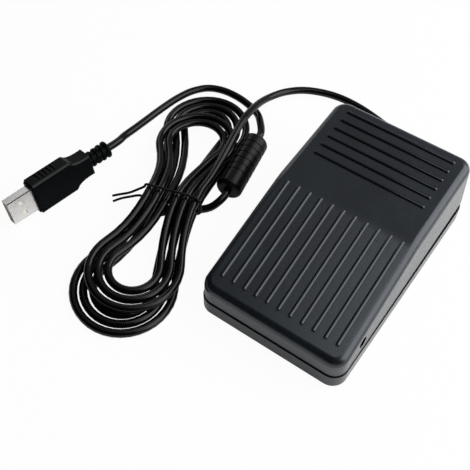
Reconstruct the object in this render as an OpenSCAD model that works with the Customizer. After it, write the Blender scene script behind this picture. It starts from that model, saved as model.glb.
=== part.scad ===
// USB foot pedal switch: a rocking cover on a low tray, with its cable tied in a hank and a USB-A plug.
// Millimetres. +Z is up, +Y points to the toe end, the origin is under the middle of the tray on the floor.

/* [Cover] */
// Width of the cover at its lower edge
cover_w = 65; // [62:0.5:72]
// Length of the cover at its lower edge
cover_l = 105; // [101:0.5:115]
// Corner radius of the cover seen from above
cover_corner_r = 6; // [4.5:0.5:8]
// Wall thickness of the cover
cover_wall = 2; // [1.6:0.1:2.4]
// Rounding of the cover's top edges
edge_r = 3.2; // [2.8:0.1:3.8]
// Height of the cover at the heel, above its lower edge
heel_h = 8.8; // [8.4:0.1:11]
// Height of the cover at the bend, above its lower edge
bend_h = 21.3; // [20:0.1:24]
// Height of the cover at the toe, above its lower edge
toe_h = 22.4; // [21:0.1:26]
// Distance of the bend from the heel edge
bend_from_heel = 55.5; // [52:0.5:60]
// Length over which the bend turns softly
bend_soft = 6; // [3:0.5:10]
// Draft of the cover's walls in degrees
wall_draft = 2; // [1:0.25:2.5]
// Tilt of the cover at rest in degrees
rest_tilt = 2; // [1.5:0.1:2.4]

/* [Tread ribs] */
// Width of a tread rib
rib_w = 1.8; // [1.2:0.1:2.4]
// Height of a tread rib
rib_h = 0.8; // [0.5:0.1:0.9]
// Number of lengthwise ribs on the heel plane
heel_rib_count = 11; // [7:2:13]
// Spacing of the lengthwise ribs
heel_rib_pitch = 5.2; // [3.5:0.1:5.2]
// Length of the lengthwise ribs
heel_rib_l = 47.5; // [30:0.5:48]
// Distance of the lengthwise ribs from the heel edge
heel_rib_margin = 7; // [6:0.5:10]
// Number of cross ribs on the toe plane
toe_rib_count = 6; // [4:1:7]
// Spacing of the cross ribs
toe_rib_pitch = 5.2; // [4:0.1:5.6]
// Length of the cross ribs
toe_rib_l = 50.8; // [40:0.2:54]
// Distance of the last cross rib from the toe edge
toe_rib_margin = 6.7; // [6:0.1:9]

/* [Tray] */
// How far the tray stands proud of the cover all round
tray_proud = 0.3; // [0.1:0.1:1]
// Height of the tray's outer wall
tray_h = 6.6; // [6.4:0.1:8]
// Thickness of the tray's outer wall
tray_wall = 2; // [1.6:0.1:2.2]
// Thickness of the tray's floor
tray_floor = 1.7; // [1.4:0.1:2]
// Gap between the tray's rim and the cover's lower edge when the cover is level
skirt_gap = 1.3; // [1.1:0.1:2]
// Height of the inner wall above the rim
inner_wall_h = 5; // [3.5:0.1:5.5]
// Thickness of the inner wall
inner_wall_t = 1.6; // [1.2:0.1:2]
// Gap between the inner wall and the inside of the cover
inner_wall_gap = 0.9; // [0.8:0.1:1.4]
// Height of the feet below the tray
foot_h = 1.3; // [1:0.1:2]
// Diameter of a foot
foot_d = 10; // [8:0.5:12]
// Depth of the pocket that a foot is glued in
foot_pocket = 0.5; // [0.3:0.1:0.8]
// Distance of a foot's centre from the tray's edges
foot_inset = 9; // [8:0.5:12]

/* [Hinge] */
// Distance of the hinge pin from the heel edge of the cover
hinge_from_heel = 16.5; // [15:0.5:18]
// Height of the hinge pin above the cover's lower edge
hinge_h = 5.3; // [5:0.1:5.8]
// Diameter of the hinge pin
pin_d = 3; // [2.5:0.1:3.4]
// Radial clearance of the cover on the pin
pin_clear = 0.05; // [0.02:0.01:0.1]
// Diameter of the hole seen in the cover's side
side_hole_d = 5; // [4:0.1:5.6]
// How far the pin's ends lie inside the cover's sides
pin_recess = 1.9; // [1.6:0.1:2]
// Thickness of the tray lugs that carry the pin
lug_t = 3; // [2:0.1:3.4]
// Width of a lug and of the boss round the pin
lug_w = 8; // [7:0.1:8.4]

/* [Switch and spring] */
// Width, depth and height of the micro switch
switch_size = [19.8, 6.4, 10.2]; // [5:0.1:24]
// Gap between the micro switch and the tray's inner wall
switch_gap = 4; // [2:0.1:4.5]
// Distance of the micro switch from the heel edge
switch_from_heel = 48.5; // [44:0.5:52]
// Height of the switch above the tray floor
switch_stand = 4; // [3.6:0.1:5]
// Diameter of the switch plunger
plunger_d = 2.5; // [2:0.1:3]
// How far the plunger stands out at rest
plunger_out = 1.8; // [1.7:0.1:2.2]
// Gap between a pressed part and what presses it
press_gap = 0.3; // [0.2:0.05:0.4]
// Distance of the return spring from the middle line
spring_off = 12; // [-6:0.5:16]
// Distance of the return spring from the toe edge
spring_from_toe = 24.5; // [22:0.5:28]
// Outer diameter of the return spring
spring_d = 8.6; // [8.4:0.1:10]
// Wire diameter of the return spring
spring_wire = 1; // [0.8:0.1:1.1]
// Length of the return spring at rest
spring_l = 16; // [14:0.5:17]
// Number of turns of the return spring
spring_turns = 6; // [4:1:7]

/* [Circuit board] */
// Width, length and thickness of the board
board_size = [22, 36, 1.6]; // [1:0.1:38]
// Gap between the board and the tray's inner wall
board_gap = 2; // [1:0.1:3]
// Distance of the board's middle from the heel edge
board_from_heel = 48.5; // [44:0.5:52]
// Height of the board above the tray floor
board_stand = 4; // [3:0.1:6]

/* [Cable] */
// Diameter of the cable
cord_d = 3.5; // [3.2:0.05:3.55]
// Height of the cable's exit above the tray floor
exit_h = 2.1; // [2:0.05:2.2]
// Spacing of the hank's turns
hank_pitch = 4.15; // [4.15:0.01:4.25]
// Height of the hank's upper layer over the lower one
layer_rise = 4.5; // [4.4:0.05:4.7]
// Whole turns in the hank's upper layer
upper_turns = 2; // [1:1:2]
// Whole turns in the hank's lower layer
lower_turns = 3; // [2:1:3]
// Fold radius of the innermost turn, less a quarter of the spacing
fold_r = 9.5; // [9.2:0.1:9.8]
// How much shorter the upper layer is at the top end
top_short = 13.5; // [12:0.5:16]
// How much shorter the upper layer is at the bottom end
bottom_short = 7.5; // [6:0.5:9.5]
// Reach of the hank from its waist to the top end
top_reach = 71; // [66:0.5:74]
// Reach of the hank from its waist to the bottom end
bottom_reach = 66.5; // [62:0.5:70]

/* [Plug] */
// Length, thickness and width of the plug's grip
grip_size = [30, 8, 16]; // [5:0.1:34]
// Width of the narrow neck behind the grip
neck_w = 11; // [9:0.1:13]
// Length of the strain relief behind the plug
relief_l = 11; // [9:0.5:16]
// Lean of the plug on its edge in degrees
plug_lean = 12; // [0:1:20]
// Diameter of the ferrite sleeve
ferrite_d = 12; // [11:0.5:12.5]
// Length of the ferrite sleeve
ferrite_l = 32; // [28:0.5:32]

/* [Hidden] */
$fn = 48;
hull_fn = 32;
dark = "#2b2e31";
black = "#141617";
steel = "#c9cccf";
brass = "#c8a04a";

// Overlap of a piece into the wall that it is moulded on
sink = 1;
rim_z = foot_h + tray_h;
floor_z = foot_h + tray_floor;
skirt_z = rim_z + skirt_gap;
tray_w = cover_w + 2 * tray_proud;
tray_l = cover_l + 2 * tray_proud;
tray_corner_r = cover_corner_r + tray_proud;
heel_y = -cover_l / 2;
toe_y = cover_l / 2;
bend_y = heel_y + bend_from_heel;
hinge_y = heel_y + hinge_from_heel;
hinge_z = skirt_z + hinge_h;
heel_angle = atan((bend_h - heel_h) / bend_from_heel);
toe_angle = atan((toe_h - bend_h) / (cover_l - bend_from_heel));

// The inner wall is set in from the cover's inside
inner_wall_in = cover_wall + inner_wall_gap;
inner_wall_z = rim_z + inner_wall_h;
inner_face_y = toe_y - inner_wall_in - inner_wall_t;
inner_face_x = cover_w / 2 - inner_wall_in - inner_wall_t;

// Sides of the hinge: wall, boss, side gap and lug from the outside in
side_gap = 0.3;
boss_l = 3;
side_x = cover_w / 2 - hinge_h * tan(wall_draft);
pin_end_x = side_x - pin_recess;
boss_x = side_x - cover_wall - boss_l;
lug_x = boss_x - side_gap;
// Room in the inner wall for the hinge bosses
hinge_window = lug_w + 3;

// Stop hooks of the cover under the keepers of the tray's toe wall
keeper_at = [-18, 18];
keeper_size = [10, 2.4, 1.8];
keeper_z = rim_z + 1.5;
hook_size = [5, 2.4, 1.8];
hook_clear = 0.8;
hook_gap = 0.4;

// Screws
screw_d = 2;
screw_head_d = 4;
screw_head_h = 1.5;
screw_l = 5;
screw_clear = 0.1;

// Board
board_at = [board_gap + board_size[0] / 2 - inner_face_x, heel_y + board_from_heel];
board_z = floor_z + board_stand;
board_top = board_z + board_size[2];
stand_d = 5;
stand_inset = 3;
header_size = [10, 5.6, 6];
header_y = board_at[1] + board_size[1] / 2 - header_size[1] / 2 - 0.2;
header_pitch = 2.2;
header_entry = 2.4;
chip_size = [7.5, 10.3, 2];
chip_off = -2;
chip_lead = [1.2, 0.5, 0.5];
chip_lead_pitch = 1.27;
crystal_size = [11, 4.6, 3.5];
crystal_off = 6.5;
can_d = 5;
can_h = 6;
can_edge = 0.4;
can_span = 10;
can_inset = 7;
header_slot = [8.6, 2.6, 3];
core_r = 0.45;
core_spread = 0.62;
wire_r = 0.5;
wire_rise = 2;
wire_pitch = 2.5;
wire_front = 6;
wire_pad_in = 2.5;

// Switch
switch_at = [inner_face_x - switch_gap - switch_size[0] / 2, heel_y + switch_from_heel];
switch_z = floor_z + switch_stand;
switch_top = switch_z + switch_size[2];
switch_hole_span = 9.5;
switch_hole_h = 2.9;
switch_hole_d = 2.4;
bracket_t = 3;
plunger_l = 4;
plunger_clear = 0.08;
terminal_size = [3.2, 0.5, 3.2];
terminal_span = 7.6;
pusher_d = 4;

// Spring and cap
spring_at = [spring_off, toe_y - spring_from_toe];
cap_d = 10;
cap_t = 2;
cap_tube_d = 6;
cap_tube_wall = 0.5;
cap_tube_l = 9;
guide_clear = 0.3;
guide_d = cap_tube_d - 2 * cap_tube_wall - 2 * guide_clear;
guide_h = 10;
cap_z = floor_z + spring_l;
pad_d = 8;

// Clamp
clamp_in = 12.5;
clamp_y = toe_y - clamp_in;
clamp_size = [17, 6, 3];
clamp_span = 12;
clamp_z = floor_z + 3;
cord_clear = 0.05;
cord_r = cord_d / 2;
exit_z = floor_z + exit_h;
cord_end_in = 19.5;
cord_end_y = toe_y - cord_end_in;

// Grommet
rear_y = toe_y + tray_proud;
grommet_d = 4.8;
grommet_clear = 0.02;
grommet_flange = [5.8, 1.2];
grommet_tail = [4.4, 7];

// Hank: its waist, the turn of its long axis from +Y and how far its ends bow to the left
hank_at = [-71, -21];
hank_turn = 15.6;
hank_bow = 6.5;
hank_bow_r = top_reach * top_reach / (2 * hank_bow);
cord_lift = 0.1;
// The waist is lifted where the plug lead passes under it
waist_lift = 5.5;
waist_length = 20;
hank_steps = 24;
hank_sides = 6;
lead_sides = 8;
// A half loop is a run, a fold and a run
half_steps = hank_steps / 2;
run_steps = hank_steps / 12;
fold_steps = hank_steps / 3;
hank_total = upper_turns + lower_turns + 0.46;
hank_mid = upper_turns + 0.5;
waist_half = hank_pitch / 4;
// The widest turn at each end, and the middles of the folds of the lower layer
top_out = (lower_turns - 0.75) * hank_pitch;
bottom_out = (lower_turns - 0.25) * hank_pitch;
top_c = top_reach - cord_r - top_out - fold_r;
bottom_c = bottom_reach - cord_r - bottom_out - fold_r;
// Radius of the arcs that draw the loops in at the waist, for folds at a distance c
function run_r(c) = (c * c / (fold_r - waist_half) - fold_r - waist_half) / 2;

// Ferrite: its lower end on the floor, and the turn of its axis from +Y
ferrite_at = [-55.2, -0.6];
ferrite_turn = 11;
ferrite_wall = 1.5;
ferrite_end_r = 2;
ferrite_ribs = 6;
ferrite_dir = [-sin(ferrite_turn), cos(ferrite_turn), 0];
ferrite_start = [ferrite_at[0], ferrite_at[1], ferrite_d / 2];
ferrite_end = ferrite_start + ferrite_l * ferrite_dir;

// Plug: where the cable enters it, its heading, and its pieces from the cable to the tip
plug_at = [-112.7, -14.1];
plug_heading = -101.3;
grip_chamfer = 0.8;
shell_size = [12, 4.5, 12];
shell_t = 0.4;
shell_seat = 3;
tongue_t = 1.9;
tongue_short = 0.8;
window_size = 1.8;
window_span = 5.4;
window_from_tip = 7;
groove_count = 5;
groove_w = 0.9;
groove_pitch = 2;
groove_depth = 0.6;
groove_from_front = 5;
groove_edge = 1.6;
front_l = 19.7;
relief_d = [7.4, 8];
relief_core_d = 5.8;
relief_rings = 4;
relief_seat = 2;
plug_z = (grip_size[1] / 2 - grip_chamfer) * sin(plug_lean) + grip_size[2] / 2 * cos(plug_lean);
plug_dir = [cos(plug_heading), sin(plug_heading), 0];
plug_entry = [plug_at[0], plug_at[1], plug_z];

// Twist tie
tie_r = 0.55;
tie_clear = 0.4;

// Small helpers

function unit(v) = v / norm(v);
function smooth(t) = let (c = max(0, min(1, t))) c * c * (3 - 2 * c);

// Rounded rectangle, centred
module plan(w, l, r) {
    square([w - 2 * r, l], center = true);
    square([w, l - 2 * r], center = true);
    for (x = [-1, 1], y = [-1, 1])
        translate([x * (w / 2 - r), y * (l / 2 - r)]) circle(r);
}

// Box centred in x and y, standing on z = 0
module block(size) {
    translate([-size[0] / 2, -size[1] / 2, 0]) cube(size);
}

// Cylinder along +X from x0 to x1 at y and z
module bar_x(r, x0, x1, y, z) {
    translate([x0, y, z]) rotate([0, 90, 0]) cylinder(r = r, h = x1 - x0);
}

// Cylinder along +Y from y0 to y1 at x and z
module bar_y(r, y0, y1, x, z) {
    translate([x, y0, z]) rotate([-90, 0, 0]) cylinder(r = r, h = y1 - y0);
}

// Round bar with ball ends along +Y
module capsule(r, l) {
    bar_y(r, 0, l, 0, 0);
    sphere(r);
    translate([0, l, 0]) sphere(r);
}

// Screw with its head standing on z = 0 and its shank below
module screw(l) {
    cylinder(d1 = screw_head_d, d2 = 0.7 * screw_head_d, h = screw_head_h);
    translate([0, 0, -l]) cylinder(d = screw_d, h = l);
}

// Direction of a route at one of its points
function heading(p, i) = unit(p[min(i + 1, len(p) - 1)] - p[max(i - 1, 0)]);

// Ring of points round a route at one of its points, across from a side direction
function ring(p, i, r, n, side) =
    let (t = heading(p, i), a = unit(cross(t, side)), b = cross(a, t))
    [for (k = [0 : n - 1]) p[i] + r * (cos(360 * k / n) * a + sin(360 * k / n) * b)];

// Tube along the points of a route
module tube(p, r, n, side = [0, 0, 1]) {
    m = len(p);
    points = [for (i = [0 : m - 1]) each ring(p, i, r, n, side)];
    walls = [for (i = [0 : m - 2], k = [0 : n - 1])
        let (a = i * n + k, b = i * n + (k + 1) % n) each [[a, a + n, b], [b, a + n, b + n]]];
    first = [for (k = [1 : n - 2]) [0, k, k + 1]];
    last = [for (k = [1 : n - 2]) [(m - 1) * n, (m - 1) * n + k + 1, (m - 1) * n + k]];
    polyhedron(points = points, faces = concat(walls, first, last));
}

// Cover

// Height of the cover's top above its lower edge
function top_h(y) = y < bend_y ? heel_h + (y - heel_y) * tan(heel_angle)
                               : bend_h + (y - bend_y) * tan(toe_angle);
function draft_in(y) = top_h(y) * tan(wall_draft);

// Height of the cover's top above the floor at rest
function rest_top_z(y) =
    let (up = skirt_z + top_h(y) - hinge_z,
         along = (y - hinge_y + up * sin(rest_tilt)) / cos(rest_tilt))
    hinge_z + along * sin(rest_tilt)
    + (skirt_z + top_h(hinge_y + along) - hinge_z) * cos(rest_tilt);

module at_rest() {
    translate([0, hinge_y, hinge_z]) rotate([rest_tilt, 0, 0])
        translate([0, -hinge_y, -hinge_z]) children();
}

// Rounded corner of the top at one end, on both sides
module top_corners(end_y, angle, inset) {
    y = end_y - sign(end_y) * (draft_in(end_y) + cover_corner_r);
    x = cover_w / 2 - draft_in(end_y) - cover_corner_r;
    for (side = [-1, 1])
        translate([side * x, y, skirt_z + top_h(y) - edge_r / cos(angle)]) rotate([angle, 0, 0])
            rotate_extrude($fn = hull_fn) intersection() {
                translate([cover_corner_r - edge_r, 0]) circle(edge_r - inset, $fn = hull_fn);
                translate([0, -edge_r]) square(2 * max(cover_corner_r, edge_r));
            }
}

// Rounded sides of the top beside the bend
module bend_corners(y, angle, inset) {
    x = cover_w / 2 - draft_in(y) - edge_r;
    for (side = [-1, 1])
        translate([side * x, y, skirt_z + top_h(y) - edge_r / cos(angle)])
            sphere(edge_r - inset, $fn = hull_fn);
}

// Form of the cover set in by a wall thickness, reaching below the lower edge by a length
module cover_form(inset, below) {
    hull() {
        for (x = [-1, 1], y = [-1, 1])
            translate([x * (cover_w / 2 - cover_corner_r), y * (cover_l / 2 - cover_corner_r),
                       skirt_z - below])
                cylinder(r = cover_corner_r - inset, h = 0.5, $fn = hull_fn);
        top_corners(heel_y, heel_angle, inset);
        top_corners(toe_y, toe_angle, inset);
        bend_corners(bend_y - bend_soft / 2, heel_angle, inset);
        bend_corners(bend_y + bend_soft / 2, toe_angle, inset);
    }
}

module heel_ribs() {
    y = heel_y + heel_rib_margin + rib_w / 2;
    for (i = [0 : heel_rib_count - 1])
        translate([(i - (heel_rib_count - 1) / 2) * heel_rib_pitch, y, skirt_z + top_h(y)])
            rotate([heel_angle, 0, 0]) translate([0, 0, rib_h - rib_w / 2])
                capsule(rib_w / 2, (heel_rib_l - rib_w) / cos(heel_angle));
}

module toe_ribs() {
    for (i = [0 : toe_rib_count - 1]) {
        y = toe_y - toe_rib_margin - i * toe_rib_pitch;
        translate([toe_rib_l / 2 - rib_w / 2, y, skirt_z + top_h(y) + rib_h - rib_w / 2])
            rotate([0, 0, 90]) capsule(rib_w / 2, toe_rib_l - rib_w);
    }
}

// Post that hangs inside the cover down to a height
module hanging_post(at, d, z) {
    translate([at[0], at[1], z]) cylinder(d = d, h = rest_top_z(at[1]) - sink - z);
}

module stop_hooks() {
    barb_top = keeper_z - hook_gap;
    leg_y = inner_face_y - keeper_size[1] - hook_clear - hook_size[1];
    for (x = keeper_at) {
        translate([x - hook_size[0] / 2, leg_y, barb_top - hook_size[2]])
            cube([hook_size[0], hook_size[1], rest_top_z(leg_y) - sink - barb_top + hook_size[2]]);
        translate([x - hook_size[0] / 2, leg_y, barb_top - hook_size[2]])
            cube([hook_size[0], 2 * hook_size[1], hook_size[2]]);
    }
}

module pedal_cover() {
    color(dark) difference() {
        union() {
            at_rest() {
                difference() {
                    cover_form(0, 0);
                    cover_form(cover_wall, sink);
                }
                heel_ribs();
                toe_ribs();
            }
            for (side = [0, 1]) mirror([side, 0, 0])
                bar_x(lug_w / 2 - 0.5, boss_x, side_x - cover_wall + sink, hinge_y, hinge_z);
            hanging_post(switch_at, pusher_d, switch_top + plunger_out + press_gap);
            hanging_post(spring_at, pad_d, cap_z + cap_t + press_gap);
            stop_hooks();
        }
        for (side = [0, 1]) mirror([side, 0, 0]) {
            bar_x(pin_d / 2 + pin_clear, boss_x - sink, side_x, hinge_y, hinge_z);
            bar_x(side_hole_d / 2, pin_end_x + 0.1, side_x + 2 * sink, hinge_y, hinge_z);
        }
    }
}

// Tray

module tray_shell() {
    difference() {
        translate([0, 0, foot_h]) linear_extrude(tray_h) plan(tray_w, tray_l, tray_corner_r);
        translate([0, 0, floor_z]) linear_extrude(tray_h)
            plan(tray_w - 2 * tray_wall, tray_l - 2 * tray_wall, tray_corner_r - tray_wall);
    }
}

module inner_wall() {
    w = cover_w - 2 * inner_wall_in;
    l = cover_l - 2 * inner_wall_in;
    r = cover_corner_r - inner_wall_in;
    difference() {
        translate([0, 0, floor_z - sink]) linear_extrude(inner_wall_z - floor_z + sink) difference() {
            plan(w, l, r);
            plan(w - 2 * inner_wall_t, l - 2 * inner_wall_t, r - inner_wall_t);
        }
        translate([-cover_w / 2, hinge_y - hinge_window / 2, floor_z + sink])
            cube([cover_w, hinge_window, inner_wall_z]);
        translate([-grommet_d / 2, inner_face_y - sink, floor_z])
            cube([grommet_d, inner_wall_t + 2 * sink, exit_h + grommet_d / 2]);
    }
}

// Lug that carries the hinge pin, on one side
module pin_lug() {
    translate([lug_x - lug_t, hinge_y, 0]) rotate([90, 0, 90]) linear_extrude(lug_t) {
        translate([0, hinge_z]) circle(d = lug_w);
        translate([-lug_w / 2, floor_z - sink]) square([lug_w, hinge_z - floor_z + sink]);
    }
}

module keepers() {
    for (x = keeper_at)
        translate([x - keeper_size[0] / 2, inner_face_y - keeper_size[1], keeper_z])
            cube([keeper_size[0], keeper_size[1] + sink, keeper_size[2]]);
}

// Posts under the board, at its four corners
module at_board_corners() {
    for (x = [-1, 1], y = [-1, 1])
        translate([board_at[0] + x * (board_size[0] / 2 - stand_inset),
                   board_at[1] + y * (board_size[1] / 2 - stand_inset), 0]) children();
}

module at_clamp_screws() {
    for (x = [-1, 1]) translate([x * clamp_span / 2, clamp_y, 0]) children();
}

// The two fixing holes of the switch, from its front face backwards
module at_switch_holes() {
    for (x = [-1, 1])
        translate([switch_at[0] + x * switch_hole_span / 2, switch_at[1] - switch_size[1] / 2,
                   switch_z + switch_hole_h])
            rotate([90, 0, 0]) children();
}

module switch_bracket() {
    translate([switch_at[0] - switch_size[0] / 2, switch_at[1] + switch_size[1] / 2, floor_z - sink])
        cube([switch_size[0], bracket_t, switch_stand + switch_size[2] - 2 + sink]);
    for (x = [-1, 1])
        translate([switch_at[0] + x * terminal_span / 2, switch_at[1], floor_z - sink])
            block([terminal_span - terminal_size[0] - 1, switch_size[1], switch_stand + sink]);
}

module at_feet() {
    for (x = [-1, 1], y = [-1, 1])
        translate([x * (tray_w / 2 - foot_inset), y * (tray_l / 2 - foot_inset), 0]) children();
}

module base_tray() {
    color(dark) difference() {
        union() {
            tray_shell();
            inner_wall();
            for (side = [0, 1]) mirror([side, 0, 0]) pin_lug();
            keepers();
            at_board_corners() translate([0, 0, floor_z - sink])
                cylinder(d = stand_d, h = board_stand + sink);
            at_clamp_screws() translate([0, 0, floor_z - sink])
                cylinder(d = stand_d, h = clamp_z - floor_z + sink);
            translate([spring_at[0], spring_at[1], floor_z - sink])
                cylinder(d = guide_d, h = guide_h + sink);
            switch_bracket();
        }
        at_feet() cylinder(d = foot_d, h = foot_h + foot_pocket);
        bar_x(pin_d / 2, -cover_w / 2, cover_w / 2, hinge_y, hinge_z);
        bar_y(grommet_d / 2, rear_y - tray_wall - sink, rear_y + sink, 0, exit_z);
        at_board_corners() translate([0, 0, board_top - screw_l - screw_clear])
            cylinder(d = screw_d, h = screw_l);
        at_clamp_screws() translate([0, 0, clamp_z + clamp_size[2] - screw_l - screw_clear])
            cylinder(d = screw_d, h = screw_l);
        at_switch_holes() translate([0, 0, -switch_size[1] - bracket_t - sink])
            cylinder(d = screw_d, h = bracket_t + 2 * sink);
    }
}

module rubber_feet() {
    edge = 0.4;
    color(black) at_feet() {
        translate([0, 0, edge]) cylinder(d = foot_d, h = foot_h + foot_pocket - edge);
        cylinder(d1 = foot_d - 2 * edge, d2 = foot_d, h = edge);
    }
}

module hinge_pin() {
    edge = 0.3;
    color(steel) {
        bar_x(pin_d / 2, edge - pin_end_x, pin_end_x - edge, hinge_y, hinge_z);
        for (side = [0, 1]) mirror([side, 0, 0])
            translate([pin_end_x - edge, hinge_y, hinge_z]) rotate([0, 90, 0])
                cylinder(d1 = pin_d, d2 = pin_d - 2 * edge, h = edge);
    }
}

// Circuit board and what is on it

module circuit_board() {
    color("#1f6b3a") difference() {
        translate([board_at[0], board_at[1], board_z]) block(board_size);
        at_board_corners() translate([0, 0, board_z - sink])
            cylinder(d = screw_d + 2 * screw_clear, h = board_size[2] + 2 * sink);
    }
}

module board_screws() {
    color(steel) at_board_corners() translate([0, 0, board_top]) screw(screw_l);
}

module control_chip() {
    color(black) translate([board_at[0], board_at[1] + chip_off, board_top]) {
        block(chip_size);
        for (side = [-1, 1], i = [-3.5 : 3.5])
            translate([side * (chip_size[0] + chip_lead[0]) / 2, i * chip_lead_pitch, 0])
                block(chip_lead);
    }
}

module crystal_can() {
    color(steel) translate([board_at[0], board_at[1] + crystal_off, board_top])
        linear_extrude(crystal_size[2])
        plan(crystal_size[0], crystal_size[1], crystal_size[1] / 2 - 0.01);
}

module board_capacitors() {
    color("#20304a") for (x = [-1, 1])
        translate([board_at[0] + x * can_span / 2, board_at[1] - board_size[1] / 2 + can_inset,
                   board_top]) {
            cylinder(d = can_d, h = can_h - can_edge);
            translate([0, 0, can_h - can_edge])
                cylinder(d1 = can_d, d2 = can_d - 2 * can_edge, h = can_edge);
        }
}

module wire_header() {
    color("ivory") translate([board_at[0], header_y, board_top]) difference() {
        block(header_size);
        translate([0, 0, header_size[2] - header_slot[2]])
            block([header_slot[0], header_slot[1], header_slot[2] + sink]);
    }
}

// Route between two points that leaves and arrives straight along Y
function wire_route(a, b, steps) = [for (i = [0 : steps])
    let (t = i / steps, s = smooth((i - 1) / (steps - 2)))
    [a[0] + (b[0] - a[0]) * s, a[1] + (b[1] - a[1]) * t, a[2] + (b[2] - a[2]) * s]];

// Four cores from the end of the cable to the header
module cable_wires() {
    header_rear = header_y + header_size[1] / 2;
    color("firebrick") for (i = [0 : 3]) {
        from = [i < 2 ? -core_spread : core_spread, cord_end_y,
                exit_z + (i % 2 == 0 ? -core_spread : core_spread)];
        to = [board_at[0] + (i - 1.5) * header_pitch, header_rear, board_top + header_entry];
        tube(wire_route(from, to, 10), core_r, 6);
    }
}

// Switch

module switch_body() {
    color("#3a3d42") difference() {
        translate([switch_at[0], switch_at[1], switch_z]) block(switch_size);
        translate([switch_at[0], switch_at[1], switch_top + plunger_out - plunger_l - 1.6])
            cylinder(d = plunger_d + 2 * plunger_clear, h = plunger_l + 2);
        at_switch_holes() translate([0, 0, -switch_size[1] - sink])
            cylinder(d = switch_hole_d, h = switch_size[1] + 2 * sink);
    }
}

module switch_plunger() {
    dome = 0.3;
    color("crimson") translate([switch_at[0], switch_at[1], switch_top + plunger_out - plunger_l]) {
        cylinder(d = plunger_d, h = plunger_l - dome);
        translate([0, 0, plunger_l - dome]) cylinder(d1 = plunger_d, d2 = plunger_d - 2 * dome, h = dome);
    }
}

module switch_terminals() {
    color(brass) for (x = [-1, 0, 1])
        translate([switch_at[0] + x * terminal_span, switch_at[1], switch_z - terminal_size[2]])
            block(terminal_size);
}

module switch_screws() {
    color(steel) at_switch_holes() screw(switch_size[1] + bracket_t);
}

// Two wires from the switch's terminals to the board
module switch_wires() {
    face_y = switch_at[1] - terminal_size[1] / 2;
    z = switch_z - terminal_size[2] / 2;
    edge_x = board_at[0] + board_size[0] / 2;
    color("gold") for (i = [0, 1]) {
        x = switch_at[0] - (1 - i) * terminal_span;
        y = face_y - wire_front - wire_pitch * i;
        pad = [edge_x - wire_pad_in, y - wire_r, board_top];
        tube([[x, face_y, z], [x, face_y - wire_rise, z], [x - 3 * wire_r, y, z],
              [edge_x + 2 * wire_rise, y, (z + board_top) / 2 + wire_r],
              [edge_x + wire_rise / 2, y, board_top + wire_rise],
              [pad[0] + wire_r, pad[1], board_top + wire_rise + wire_r],
              [pad[0], pad[1], board_top + wire_rise / 2], pad], wire_r, 6, [0, 1, 0.2]);
    }
}

// Spring

module spring_cap() {
    color("#d8d8d4") translate([spring_at[0], spring_at[1], 0]) difference() {
        union() {
            translate([0, 0, cap_z]) cylinder(d = cap_d, h = cap_t);
            translate([0, 0, cap_z - cap_tube_l]) cylinder(d = cap_tube_d, h = cap_tube_l);
        }
        translate([0, 0, cap_z - cap_tube_l - sink])
            cylinder(d = cap_tube_d - 2 * cap_tube_wall, h = cap_tube_l + sink);
    }
}

module return_spring() {
    per_turn = 10;
    r = (spring_d - spring_wire) / 2;
    rise = spring_l - spring_wire - 0.1;
    route = [for (i = [0 : spring_turns * per_turn])
        [spring_at[0] + r * cos(360 * i / per_turn), spring_at[1] + r * sin(360 * i / per_turn),
         floor_z + spring_wire / 2 + 0.05 + rise * i / (spring_turns * per_turn)]];
    color(steel) tube(route, spring_wire / 2, 6);
}

// Cable inside the tray

module cord_clamp() {
    color(dark) difference() {
        translate([0, clamp_y, clamp_z]) block(clamp_size);
        bar_y(cord_r + cord_clear, clamp_y - clamp_size[1], clamp_y + clamp_size[1], 0, exit_z);
        at_clamp_screws() translate([0, 0, clamp_z - sink])
            cylinder(d = screw_d + 2 * screw_clear, h = clamp_size[2] + 2 * sink);
    }
}

module clamp_screws() {
    color(steel) at_clamp_screws() translate([0, 0, clamp_z + clamp_size[2]]) screw(screw_l);
}

module cable_grommet() {
    color(black) translate([0, rear_y, exit_z]) rotate([-90, 0, 0]) difference() {
        union() {
            translate([0, 0, -tray_wall]) cylinder(d = grommet_d - 2 * grommet_clear, h = tray_wall);
            cylinder(d = grommet_flange[0], h = grommet_flange[1]);
            translate([0, 0, grommet_flange[1]])
                cylinder(d1 = grommet_flange[0] - 0.4, d2 = grommet_tail[0], h = grommet_tail[1]);
        }
        translate([0, 0, -tray_wall - sink])
            cylinder(r = cord_r + cord_clear,
                     h = tray_wall + grommet_flange[1] + grommet_tail[1] + 2 * sink);
    }
}

// Cable outside

cord_floor_z = cord_r + cord_lift;
tail_y = rear_y + grommet_flange[1] + grommet_tail[1];

// Point of the innermost loop and its outward direction, x counted in steps from the right of the waist,
// down round the bottom fold, up the left and round the top fold. Layer is 1 in the upper layer.
function run_point(side, end, r, b) =
    [side * (waist_half + r * (1 - cos(b))), end * r * sin(b), side * cos(b), -end * sin(b)];
function fold_point(c, a) = [fold_r * cos(a), c + fold_r * sin(a), cos(a), sin(a)];
function loop_point(x, layer) =
    let (top = x >= half_steps,
         end = top ? 1 : -1,
         part = top ? x - half_steps : x,
         c = top ? top_c - top_short * layer : bottom_c - bottom_short * layer,
         r = run_r(c),
         meet = atan(c / (waist_half + r)),
         first = part < run_steps)
    first || part >= run_steps + fold_steps
        ? run_point(first == top ? -1 : 1, end, r, meet * (first ? part : half_steps - part) / run_steps)
        : fold_point(end * c, (top ? 180 : 0) + meet - (180 + 2 * meet) * (part - run_steps) / fold_steps);

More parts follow.
